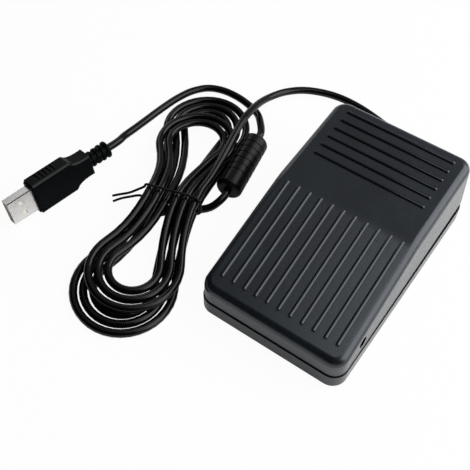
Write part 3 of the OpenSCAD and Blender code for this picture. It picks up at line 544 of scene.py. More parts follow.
class Bench:
    """The modelling bench: operators that shape one piece at a time."""

    @staticmethod
    def clear() -> None:
        """Put every piece out of reach of the operators."""
        bpy.ops.object.select_all(action="DESELECT")

    @staticmethod
    def take(*pieces: Piece) -> None:
        """Select some pieces alone.

        Args:
            pieces: the pieces, of which the first one becomes active.
        """
        Bench.clear()
        for piece in pieces:
            piece.select_set(True)
        bpy.context.view_layer.objects.active = pieces[0]

    @staticmethod
    def add(name: str, maker: Callable[..., object], **settings: object) -> Piece:
        """A new primitive with its place in its mesh.

        Args:
            name: the piece's name.
            maker: the operator that adds the primitive.
            settings: the operator's settings.

        Returns:
            The new piece.
        """
        Bench.clear()
        maker(**settings)
        piece = bpy.context.object
        piece.name = piece.data.name = name
        bpy.ops.object.transform_apply(location=True, rotation=True, scale=True)
        return piece

    @staticmethod
    def box(name: str, low: Point, high: Point) -> Piece:
        """A box to be shaped further.

        Args:
            name: the piece's name.
            low: its low corner in millimetres.
            high: its high corner.

        Returns:
            The box.
        """
        size = [b - a for a, b in zip(low, high)]
        middle = [(a + b) / 2 for a, b in zip(low, high)]
        return Bench.add(name, bpy.ops.mesh.primitive_cube_add, size=1, location=mm(*middle),
                         scale=mm(*size))

    @staticmethod
    @contextmanager
    def edit(piece: Piece) -> Iterator[None]:
        """Work in edit mode, with all of a piece selected at first.

        Args:
            piece: the piece.

        Yields:
            Nothing: the with block does the work.
        """
        Bench.take(piece)
        bpy.ops.object.mode_set(mode="EDIT")
        bpy.ops.mesh.select_all(action="SELECT")
        yield
        bpy.ops.object.mode_set(mode="OBJECT")

    @staticmethod
    def pick(piece: Piece, part: Part, test: Callable[..., bool]) -> None:
        """Select what passes a test in edit mode.

        Args:
            piece: the piece in edit mode.
            part: whether to choose among its vertices, edges or faces.
            test: the test of one of them.
        """
        bpy.ops.mesh.select_mode(type=part.name)
        bpy.ops.mesh.select_all(action="DESELECT")
        mesh = bmesh.from_edit_mesh(piece.data)
        mesh.normal_update()
        for element in getattr(mesh, part.value):
            element.select_set(test(element))
        mesh.select_flush_mode()
        bmesh.update_edit_mesh(piece.data)

    @staticmethod
    def extrude(*move: float) -> None:
        """Draw the picked faces out by millimetres."""
        bpy.ops.mesh.extrude_region_move(TRANSFORM_OT_translate={"value": mm(*move)})

    @staticmethod
    def round_picked(radius: float, segments: int, finish: int = -1) -> None:
        """Bevel the picked edges by a radius in millimetres.

        Args:
            radius: the radius in millimetres.
            segments: faces across the rounding.
            finish: the material slot of the new faces, or -1 for that of the faces beside them.
        """
        bpy.ops.mesh.bevel(offset=radius * MM, offset_type="OFFSET", segments=segments, affect="EDGES",
                           clamp_overlap=True, material=finish)

    @staticmethod
    def round_sharp(piece: Piece, radius: float, segments: int = 2, angle: float = 40.0) -> None:
        """Round every edge of a piece that is sharper than an angle.

        Args:
            piece: the piece.
            radius: the radius in millimetres.
            segments: faces across the rounding.
            angle: the angle between two faces, in degrees.
        """
        with Bench.edit(piece):
            Bench.pick(piece, Part.EDGE, lambda edge: len(edge.link_faces) == 2
                       and edge.calc_face_angle(0.0) > math.radians(angle))
            Bench.round_picked(radius, segments)

    @staticmethod
    def modify(piece: Piece, kind: str, **settings: object) -> None:
        """Add a modifier, set it and apply it.

        Args:
            piece: the piece.
            kind: the modifier's type.
            settings: its properties.
        """
        Bench.take(piece)
        modifier = piece.modifiers.new(kind.lower(), kind)
        for key, setting in settings.items():
            setattr(modifier, key, setting)
        bpy.ops.object.modifier_apply(modifier=modifier.name)

    @staticmethod
    def drill(radius: float, length: float, middle: Point, sides: int, angles: Point = (0, 0, 0)) -> Piece:
        """A round cutter in millimetres, along Z or turned from there by angles."""
        return Bench.add("drill", bpy.ops.mesh.primitive_cylinder_add, vertices=sides, radius=radius * MM,
                         depth=length * MM, location=mm(*middle), rotation=angles)

    @staticmethod
    def cut(piece: Piece, cutter: Piece, shade: Optional[Finish] = None) -> None:
        """Take a cutter's shape out of a piece and throw the cutter away.

        Args:
            piece: the piece.
            cutter: the shape to take out.
            shade: the finish of the cut faces, where it isn't that of the piece; the callers give a dark
                finish that paints shade into holes and seams.
        """
        if shade:
            dress(cutter, shade)
        Bench.modify(piece, "BOOLEAN", operation="DIFFERENCE", object=cutter, solver="EXACT",
                     material_mode="TRANSFER" if shade else "INDEX")
        bpy.data.objects.remove(cutter)

    @staticmethod
    def move(piece: Piece, matrix: Matrix) -> Piece:
        """Move the mesh of a piece."""
        piece.data.transform(matrix)
        return piece

    @staticmethod
    def copy(piece: Piece, matrix: Matrix) -> Piece:
        """A copy of a piece with its own mesh, moved."""
        return Bench.move(hang(piece.name, piece.data.copy()), matrix)

    @staticmethod
    def join(pieces: Sequence[Piece]) -> Piece:
        """Make one piece of several.

        Args:
            pieces: the pieces.

        Returns:
            The first one, which now holds them all.
        """
        Bench.take(*pieces)
        bpy.ops.object.join()
        return pieces[0]

    @staticmethod
    def smooth(piece: Piece, angle: float = 30.0) -> Piece:
        """Shade smooth, with flat faces kept flat.

        Args:
            piece: the piece.
            angle: the angle in degrees from which an edge stays sharp.

        Returns:
            The piece.
        """
        Bench.take(piece)
        bpy.ops.object.shade_smooth_by_angle(angle=math.radians(angle))
        Bench.modify(piece, "WEIGHTED_NORMAL", keep_sharp=True, mode="FACE_AREA", weight=50)
        return piece

    @staticmethod
    def turned(name: str, profile: Sequence[Tuple[float, float]], sides: int, bore: float = 0.0) -> Piece:
        """A turned piece about Z, drawn ring by ring, with a hole through it where a bore is given.

        Args:
            name: the piece's name.
            profile: height and radius of each ring in millimetres, from the bottom up.
            sides: sides of a ring.
            bore: radius of the hole in millimetres, or zero.

        Returns:
            The turned piece.
        """
        z, radius = profile[0]
        piece = Bench.add(name, bpy.ops.mesh.primitive_circle_add, vertices=sides, radius=radius * MM,
                          fill_type="NGON", location=mm(0, 0, z))
        with Bench.edit(piece):
            for next_z, next_radius in profile[1:]:
                Bench.extrude(0, 0, next_z - z)
                factor = next_radius / radius
                bpy.ops.transform.resize(value=(factor, factor, 1.0))
                z, radius = next_z, next_radius
            bpy.ops.mesh.select_all(action="SELECT")
            bpy.ops.mesh.remove_doubles(threshold=1e-7)
            bpy.ops.mesh.normals_make_consistent(inside=False)
        if bore:
            low, high = profile[0][0] - PAST, profile[-1][0] + PAST
            Bench.cut(piece, Bench.drill(bore, high - low, (0, 0, (high + low) / 2), sides))
        return piece

    @staticmethod
    def tube(name: str, route: Sequence[Point], radius: float, mesh: bool = True) -> Piece:
        """A round wire along points in millimetres.

        Args:
            name: the piece's name.
            route: the points, close together.
            radius: the wire's radius in millimetres.
            mesh: whether to make the curve a mesh.

        Returns:
            The wire, as a curve of one open spline or as a mesh.
        """
        line = bpy.data.curves.new(name, "CURVE")
        line.dimensions = "3D"
        line.bevel_depth = radius * MM
        line.bevel_resolution = 4
        line.use_fill_caps = True
        spline = line.splines.new("POLY")
        spline.points.add(len(route) - 1)
        for spot, point in zip(spline.points, route):
            spot.co = (*mm(*point), 1.0)
        spline.use_smooth = True
        piece = hang(name, line)
        if mesh:
            Bench.take(piece)
            bpy.ops.object.convert(target="MESH")
            piece = bpy.context.object
            bpy.ops.object.shade_smooth()
        return piece


def dress(piece: Piece, *finishes: Finish) -> None:
    """Give a piece a material slot for each finish.

    Args:
        piece: the piece.
        finishes: its finishes, the main one first.
    """
    for finish in finishes:
        piece.data.materials.append(finish.material)


def settle(piece: Piece, body: str, slot: str, finish: Finish, *nodes: str) -> Piece:
    """Dress a piece, set it on a body and let it stand for its solids.

    Args:
        piece: the finished piece.
        body: the body that it moves with.
        slot: the record's material slot; not used.
        finish: its finish, where it has none yet.
        nodes: the solids that it replaces.

    Returns:
        The piece.
    """
    if not piece.data.materials:
        dress(piece, finish)
    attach(piece, body)
    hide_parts(*nodes)
    log.info("%s rides on %s and replaces %s", piece.name, body, ", ".join(nodes))
    return piece


def smooth_step(share: float) -> float:
    """A share held between 0 and 1 that starts and ends softly."""
    held = min(1.0, max(0.0, share))
    return held * held * (3 - 2 * held)


def spline(points: Sequence[Point], step: float) -> List[Point]:
    """A smooth line through points, with new points a step apart.

    Args:
        points: the route's points in millimetres.
        step: about how far apart the new points lie, in millimetres.

    Returns:
        The points of the smooth line.
    """
    spots = [Vector(point) for point in points]
    ends = [2 * spots[0] - spots[1], *spots, 2 * spots[-1] - spots[-2]]
    line: List[Vector] = []
    for before, start, end, after in zip(ends, ends[1:], ends[2:], ends[3:]):
        knots = [0.0]
        for a, b in ((before, start), (start, end), (end, after)):
            knots.append(knots[-1] + math.sqrt(max((b - a).length, 1e-6)))
        count = max(2, round((end - start).length / step))
        for i in range(count):
            t = knots[1] + (knots[2] - knots[1]) * i / count
            line.append(_between((before, start, end, after), knots, t))
    line.append(spots[-1])
    return [tuple(spot) for spot in line]


def _between(spots: Sequence[Vector], knots: Sequence[float], t: float) -> Vector:
    """A point of the spline between the middle two of four points.

    Args:
        spots: the four points.
        knots: the place of each point along the spline.
        t: the place of the wanted point, between the middle knots.

    Returns:
        The point.
    """
    def mix(first: Vector, second: Vector, low: float, high: float) -> Vector:
        """The point between two, by where t lies between two knots."""
        return first.lerp(second, (t - low) / (high - low))

    near = [mix(spots[i], spots[i + 1], knots[i], knots[i + 1]) for i in range(3)]
    far = [mix(near[i], near[i + 1], knots[i], knots[i + 2]) for i in range(2)]
    return mix(far[0], far[1], knots[1], knots[2])


@dataclass
class CableHank:
    """The tied bundle: an upper layer that spirals in and a wider lower layer that spirals out again."""

    diameter: float = 3.5
    lift: float = 0.1
    pitch: float = 4.15
    rise: float = 4.5
    upper_turns: int = 2
    lower_turns: int = 3
    fold: float = 9.5
    top_reach: float = 71.0
    bottom_reach: float = 66.5
    top_short: float = 13.5
    bottom_short: float = 7.5
    waist: Tuple[float, float] = (-71.0, -21.0)
    slant: float = 15.6
    bow: float = 6.5
    waist_lift: float = 5.5
    waist_length: float = 20.0
    end_turn: float = 0.46
    loose_turn: float = 0.25
    bottom_turn: float = 0.25
    top_turn: float = 0.75
    inward: Point = (0.2, -0.97, -0.1)
    steps: int = 24
    finer: int = 3

    @property
    def floor_z(self) -> float:
        """Height of the cable's middle on the floor."""
        return self.diameter / 2 + self.lift

    @property
    def half_waist(self) -> float:
        """Half the room between the innermost runs at the waist."""
        return self.pitch / 4

    @property
    def middle_turn(self) -> float:
        """The turn at which the hank goes from the upper layer to the lower one."""
        return self.upper_turns + 0.5

    @property
    def total(self) -> float:
        """All the turns."""
        return self.upper_turns + self.lower_turns + self.end_turn

    @property
    def run_steps(self) -> float:
        """Steps of a run from the waist to a fold."""
        return self.steps / 12

    def lay(self, across: float, along: float, height: float) -> Point:
        """Lay a point of the hank out in the frame.

        Args:
            across: how far it lies across the hank, in millimetres.
            along: how far it lies along the hank.
            height: its height.

        Returns:
            The point.
        """
        slant = math.radians(self.slant)
        return (self.waist[0] + across * math.cos(slant) - along * math.sin(slant),
                self.waist[1] + across * math.sin(slant) + along * math.cos(slant), height)

    def _fold_middle(self, top: bool, layer: float) -> float:
        """Distance of a fold's centre from the waist.

        Args:
            top: whether it is the fold towards the toe.
            layer: one in the upper layer and zero in the lower one.

        Returns:
            The distance in millimetres.
        """
        reach, short, turn = ((self.top_reach, self.top_short, self.top_turn) if top
                              else (self.bottom_reach, self.bottom_short, self.bottom_turn))
        strands = self.diameter / 2 + (self.lower_turns - turn) * self.pitch
        return reach - strands - self.fold - short * layer

    def _loop(self, place: float, layer: float) -> Tuple[Vector, Vector]:
        """Point and outward direction of the innermost loop, from the right of the waist downwards.

        Args:
            place: steps round the loop; a run is a twelfth of the steps and a fold a third.
            layer: one in the upper layer and zero in the lower one.

        Returns:
            The point and the direction, across and along the hank.
        """
        half, run_steps, fold_steps = self.steps / 2, self.run_steps, self.steps / 3
        top = place >= half
        end = 1 if top else -1
        part = place - half if top else place
        middle = self._fold_middle(top, layer)
        run = (middle ** 2 / (self.fold - self.half_waist) - self.fold - self.half_waist) / 2
        meet = math.atan(middle / (self.half_waist + run))
        if run_steps <= part < run_steps + fold_steps:
            around = (math.pi if top else 0.0) + meet
            around -= (math.pi + 2 * meet) * (part - run_steps) / fold_steps
            out = Vector((math.cos(around), math.sin(around)))
            return Vector((0, end * middle)) + out * self.fold, out
        first = part < run_steps
        side = -1 if first == top else 1
        angle = meet * (part if first else half - part) / run_steps
        out = Vector((side * math.cos(angle), -end * math.sin(angle)))
        across = self.half_waist + run * (1 - math.cos(angle))
        return Vector((side * across, end * run * math.sin(angle))), out

    def point(self, turn: float) -> Point:
        """A point of the hank's middle line.

        Args:
            turn: the turns of cable before it.

        Returns:
            The point in millimetres.
        """
        share = (self.steps * (turn - self.middle_turn) + self.run_steps) / (2 * self.run_steps)
        layer = 1 - smooth_step(share)
        point, out = self._loop(self.steps * (turn - math.floor(turn)), layer)
        offset = self.pitch * abs(turn - self.middle_turn)
        along = point.y + offset * out.y
        radius = self.top_reach ** 2 / (2 * self.bow)
        reach = radius + point.x + offset * out.x
        bend = along / radius
        lifted = 0.0
        if turn <= self.total - self.loose_turn:
            lifted = self.waist_lift * math.exp(-(along / self.waist_length) ** 2)
        return self.lay(reach * math.cos(bend) - radius, reach * math.sin(bend),
                        self.floor_z + self.rise * layer + lifted)

    def line(self) -> Tuple[List[Point], Vector, Vector]:
        """The hank's middle line.

        Returns:
            Its points, and the directions in which the cable comes and goes.
        """
        last = math.floor(self.total * self.steps)
        count = last * self.finer
        coil = [self.point(last * i / count / self.steps) for i in range(count + 1)]
        outward = Vector(self.point(last / self.steps)) - Vector(self.point((last - 1) / self.steps))
        return coil, Vector(self.inward).normalized(), outward.normalized()


@dataclass
class FerriteSleeve:
    """Moulded sleeve over the ferrite, with raised rings and rounded ends."""

    at: Tuple[float, float] = (-55.2, -0.6)
    turn: float = 11.0
    diameter: float = 12.0
    length: float = 32.0
    bore: float = 1.8
    end_radius: float = 2.0
    ribs: int = 6
    rib_depth: float = 0.25
    rib_flank: float = 0.15
    arc_steps: int = 5
    sides: int = 48

    def ends(self) -> Tuple[Vector, Vector]:
        """Where the sleeve lies.

        Returns:
            The middle of its lower and of its upper end, in millimetres.
        """
        side = math.radians(self.turn)
        low = Vector((self.at[0], self.at[1], self.diameter / 2))
        return low, low + Vector((-math.sin(side), math.cos(side), 0)) * self.length

    def build(self) -> Piece:
        """Turn the sleeve and lay it on the floor.

        Returns:
            The sleeve.
        """
        radius, end, length = self.diameter / 2, self.end_radius, self.length
        arc: List[Tuple[float, float]] = []
        for i in range(self.arc_steps + 1):
            angle = math.radians(90 - 90 / self.arc_steps * i)
            arc.append((end * (1 - math.sin(angle)), radius - end * (1 - math.cos(angle))))
        profile = list(arc)
        room, groove = length / (self.ribs + 3), radius - self.rib_depth
        for i in range(self.ribs):
            z = (i + 2) * room
            profile += [(z, radius), (z + self.rib_flank, groove),
                        (z + room / 2 - self.rib_flank, groove), (z + room / 2, radius)]
        profile += [(length - z, r) for z, r in reversed(arc)]
        sleeve = Bench.turned("ferrite_skin", profile, self.sides, self.bore)
        low, _ = self.ends()
        Bench.move(sleeve, shift(*low) @ spin(self.turn, "Z") @ spin(-90, "X"))
        return settle(Bench.smooth(sleeve), "base", "sleeve_plastic", Finish.SLEEVE, "ferrite_sleeve")


@dataclass
class UsbPlug:
    """USB-A plug: strain relief, grip and metal shell along its own X, its broad face towards its own Y."""

    at: Tuple[float, float] = (-112.7, -14.1)
    heading: float = -101.3
    lean: float = 12.0
    relief: float = 11.0
    relief_ends: Tuple[float, float] = (4.0, 3.7)
    relief_core: float = 2.9
    relief_ease: float = 0.25
    rings: int = 4
    ring_flank: float = 0.01
    bridge: Point = (1.2, 1.9, 0.1)
    grip: Point = (30.0, 8.0, 16.0)
    chamfer: float = 0.8
    front: float = 19.7
    lip: float = 0.8
    lip_inset: float = 0.7
    edge: float = 0.2
    sharp: float = 50.0
    shoulder: Tuple[Tuple[float, float], ...] = ((0.5, 7.6), (0.9, 6.75), (1.1, 6.15), (1.3, 5.75),
                                                 (1.5, 5.5), (1.9, 5.35), (2.1, 5.4), (1.0, 5.5))
    grooves: int = 5
    groove_pitch: float = 2.0
    groove: Point = (0.9, 4.8, 0.6)
    groove_from_front: float = 5.0
    shell: Point = (12.0, 4.5, 12.0)
    shell_seat: float = 3.0
    shell_corner: float = 0.55
    sheet: float = 0.4
    seam: Point = (0.4, 0.3, 0.32)
    window: float = 1.8
    window_span: float = 5.4
    window_from_tip: float = 7.0
    cable_radius: float = 1.8

    def entry(self) -> Vector:
        """Where the cable goes in.

        Returns:
            The point in millimetres.
        """
        lean = math.radians(self.lean)
        height = (self.grip[1] / 2 - self.chamfer) * math.sin(lean) + self.grip[2] / 2 * math.cos(lean)
        return Vector((self.at[0], self.at[1], height))

    def heading_vector(self) -> Vector:
        """Direction from the cable to the tip."""
        side = math.radians(self.heading)
        return Vector((math.cos(side), math.sin(side), 0))

    def _place(self, piece: Piece) -> Piece:
        """Move a piece from the plug's own axes to the floor."""
        return Bench.move(piece, shift(*self.entry()) @ spin(self.heading, "Z") @ spin(self.lean, "X"))

    def build_grip(self) -> Piece:
        """Shape the grip: a wide front, a hollow shoulder, a narrow neck, a front lip and grooves.

        Returns:
            The grip.
        """
        length, thick, wide = self.grip
        end = self.relief + length
        grip = Bench.box("plug_grip", (end - self.front, -thick / 2, -wide / 2),
                         (end - self.lip, thick / 2, wide / 2))
        dress(grip, Finish.PLUG, Finish.PLUG_EDGE)
        with Bench.edit(grip):
            Bench.pick(grip, Part.FACE, lambda face: face.normal.x < -FACING)
            half = wide / 2
            for step, width in self.shoulder:
                Bench.extrude(-step, 0, 0)
                bpy.ops.transform.resize(value=(1, 1, width / half))
                half = width
            Bench.pick(grip, Part.EDGE, lambda edge: edge.calc_face_angle(0.0) > math.radians(self.sharp)
                       and max(abs(face.normal.x) for face in edge.link_faces) < FACING)
            # The chamfers take slot 1, the lighter copy: a painted highlight along the edges.
            Bench.round_picked(self.chamfer, segments=1, finish=1)
            Bench.pick(grip, Part.FACE, lambda face: face.normal.x > FACING)
            bpy.ops.mesh.inset(thickness=self.lip_inset * MM)
            Bench.extrude(self.lip, 0, 0)
        Bench.round_sharp(grip, self.edge)
        across, along, deep = self.groove
        for side in (-1, 1):
            for i in range(self.grooves):
                x = end - self.groove_from_front - i * self.groove_pitch
                cutter = Bench.box("groove", (x - across, -along / 2, side * wide / 2 - deep),
                                   (x, along / 2, side * wide / 2 + deep))
                Bench.round_sharp(cutter, self.edge)
                Bench.cut(grip, cutter)
        Bench.smooth(self._place(grip), angle=32)
        return settle(grip, "base", "plug_plastic", Finish.PLUG, "plug_overmould")

    def build_relief(self) -> Piece:
        """Shape the strain relief: rings on a core, with bridges that change sides from gap to gap.

        Returns:
            The strain relief.
        """
        core, ease, flank = self.relief_core, self.relief_ease, self.ring_flank
        step = self.relief / (2 * self.rings)
        wide, narrow = self.relief_ends
        profile: List[Tuple[float, float]] = []
        for i in range(self.rings):
            radius = wide + (narrow - wide) * i / (self.rings - 1)
            z = 2 * i * step
            profile += [(z, radius - ease), (z + ease, radius), (z + step - ease, radius),
                        (z + step, radius - ease), (z + step + flank, core), (z + 2 * step - flank, core)]
        pieces = [Bench.turned("plug_relief", profile, sides=40, bore=self.cable_radius)]
        half, inner, past = self.bridge
        for i in range(self.rings):
            z = (2 * i + 1) * step
            for side in (0, 180):
                bridge = Bench.box("bridge", (-half, inner, z - past), (half, narrow, z + step + past))
                Bench.round_sharp(bridge, self.edge)
                pieces.append(Bench.move(bridge, spin(90 * (i % 2) + side, "Z")))
        piece = Bench.move(Bench.join(pieces), spin(90, "Y"))
        Bench.smooth(self._place(piece))
        return settle(piece, "base", "plug_plastic", Finish.PLUG, "plug_strain_relief")

    def build_shell(self) -> Piece:
        """Fold the metal shell: a hollow box whose seam walls are painted dark as shade, and two square
        windows in each broad side.

        Returns:
            The shell.
        """
        length, thick, wide = self.shell
        back = self.relief + self.grip[0] - self.shell_seat
        tip = self.relief + self.grip[0] + length
        shell = Bench.box("plug_shell", (back, -thick / 2, -wide / 2), (tip, thick / 2, wide / 2))
        dress(shell, Finish.SHELL)
        with Bench.edit(shell):
            Bench.pick(shell, Part.EDGE, lambda edge: edge.verts[0].co.yz == edge.verts[1].co.yz)
            Bench.round_picked(self.shell_corner, segments=4)
            Bench.pick(shell, Part.FACE, lambda face: face.normal.x > FACING)
            bpy.ops.mesh.inset(thickness=self.sheet * MM)
            Bench.extrude(back - tip + self.sheet, 0, 0)
        for side in (-1, 1):
            z, w = side * self.window_span / 2, self.window / 2
            x = tip - self.window_from_tip
            Bench.cut(shell, Bench.box("window", (x, -thick, z - w), (x + self.window, thick, z + w)))
        gap, deep, from_edge = self.seam
        z = wide / 2 - from_edge
        seam = Bench.box("seam", (back - PAST, thick / 2 - deep, z - gap / 2),
                         (tip + PAST, thick, z + gap / 2))
        # The seam's walls take the black finish: painted shade in the groove.
        Bench.cut(shell, seam, Finish.CHIP)
        Bench.smooth(self._place(shell))
        return settle(shell, "base", "shell_metal", Finish.SHELL, "usb_shell")


@dataclass
class UsbCable:
    """The whole cable: out of the tray, over the floor, through its hank and the ferrite, to the plug."""

    rear_y: float = 52.8
    exit_z: float = 5.1
    step: float = 1.6
    hank: CableHank = field(default_factory=CableHank)
    ferrite: FerriteSleeve = field(default_factory=FerriteSleeve)
    plug: UsbPlug = field(default_factory=UsbPlug)

    def route(self) -> List[Point]:
        """The middle line of the whole cable.

        Returns:
            Its points in millimetres, from the tray to the plug.
        """
        coil, inward, outward = self.hank.line()
        start, end, d = Vector(coil[0]), Vector(coil[-1]), self.hank.diameter
        from_pedal = [(0, y, self.exit_z) for y in (33, 40, self.rear_y, 61)]
        from_pedal += [(-1, 66.5, 4.4), (-4, 71, 3), (-10, 74.6, 2.1), (-18, 77, 1.9), (-27, 79.2, 1.9),
                       (-37, 80.7, 1.9), (-47, 80.6, 1.9), (-56, 78.4, 1.9), (-64, 74.4, 1.9),
                       (-70, 68, 2.3), (-73, 60, 3.8), (-73.4, 52, 6.6), (-72.4, 44, 9.4), (-71, 35, 11.6),
                       (-68.9, 25, 12.2), (-66.2, 14.5, 12.4), (-63.8, 4.5, 12.5), (-62.1, -4.5, 12.6)]
        from_pedal += [tuple(start - share * d * inward) for share in (2, 1, 0)]
        low, high = self.ferrite.ends()
        axis = (high - low).normalized()
        tip = self.plug.entry()
        heading = self.plug.heading_vector()
        to_plug = [tuple(end + share * d * outward) for share in (0, 1, 2)]
        to_plug += [(-75.5, -27, 1.9), (-69.5, -20.5, 1.9), (-63, -15.5, 1.9), (-57, -10.8, 3.4)]
        through = (low - 4 * axis, low, (low + high) / 2, high, high + 5 * axis)
        to_plug += [tuple(spot) for spot in through]
        to_plug += [(-67, 42.5, 4.4), (-72.5, 48, 2.6), (-80, 51.2, 1.9), (-88, 52.4, 1.9), (-96, 51.8, 1.9),
                    (-102.5, 49, 1.9), (-107.5, 43, 1.9), (-110.5, 35, 1.9), (-112.2, 25, 2.2),
                    (-112.6, 15, 3.4), (-112.4, 5, 5.4), (-112.1, -3, 7.3)]
        to_plug += [tuple(tip - 2 * d * heading), tuple(tip + 2 * heading)]
        return spline(from_pedal, self.step)[:-1] + coil[:-1] + spline(to_plug, self.step)

    def build(self) -> Piece:
        """Make the cable.

        Returns:
            The cable, as one open curve.
        """
        cable = Bench.tube("usb_cable", self.route(), self.hank.diameter / 2, mesh=False)
        return settle(cable, "base", "cable_jacket", Finish.JACKET, "usb_lead_pedal", "cable_hank",
                      "usb_lead_plug")

    def declare(self) -> None:
        """Work out the cable's route, and do nothing more with it.
        """
        route = self.route()


@dataclass
class TwistTie:
    """Coated wire round the waist of the hank, its ends twisted on the left and left as two tails."""

    hank: CableHank
    radius: float = 0.55
    clear: float = 0.4
    step: float = 0.6
    first: float = 1.2
    corner_points: int = 4
    fineness: float = 0.7
    upper_tail: Tuple[Point, ...] = ((-26.2, -3.2, 4.5), (-22.8, -2.6, 6.2), (-18.4, -1.7, 8.2),
                                     (-14.6, -0.2, 10.4))
    lower_tail: Tuple[Point, ...] = ((-13.5, -2.2, 8.9), (-17.5, -3.1, 7.4), (-21.5, -4, 5.6),
                                     (-25.1, -5.3, 3.6))

    def route(self) -> List[Point]:
        """The wire: a tail, arcs about the outermost strands, and a tail.

        Returns:
            Its points in millimetres.
        """
        hank = self.hank
        off = hank.diameter / 2 + self.radius + self.clear
        low = hank.floor_z + hank.waist_lift
        high = low + hank.rise
        high_left = -hank.half_waist - hank.upper_turns * hank.pitch
        high_right = hank.half_waist + hank.middle_turn * hank.pitch
        low_left = -hank.half_waist - (hank.lower_turns - 1) * hank.pitch
        low_right = hank.half_waist + (hank.lower_turns - 0.5) * hank.pitch
        left = math.degrees(math.atan((high_left - low_left) / hank.rise))
        right = math.degrees(math.atan((low_right - high_right) / hank.rise))
        corners = ((high_left, high, 180 - left, 90), (high_right, high, 90, right),
                   (low_right, low, right, -90), (low_left, low, 270, 180 - left))
        points = list(self.upper_tail)
        for i, (across, height, start, stop) in enumerate(corners):
            for k in range(self.corner_points):
                t = k / (self.corner_points - 1)
                angle = math.radians(start + (stop - start) * t)
                points.append((across + off * math.cos(angle), self.first - self.step * (i + t),
                               height + off * math.sin(angle)))
        return [hank.lay(*point) for point in (*points, *self.lower_tail)]

    def build(self) -> Piece:
        """Make the tie."""
        tie = Bench.tube("tie_wire", spline(self.route(), self.fineness), self.radius)
        return settle(tie, "base", "tie_jacket", Finish.TIE, "twist_tie")


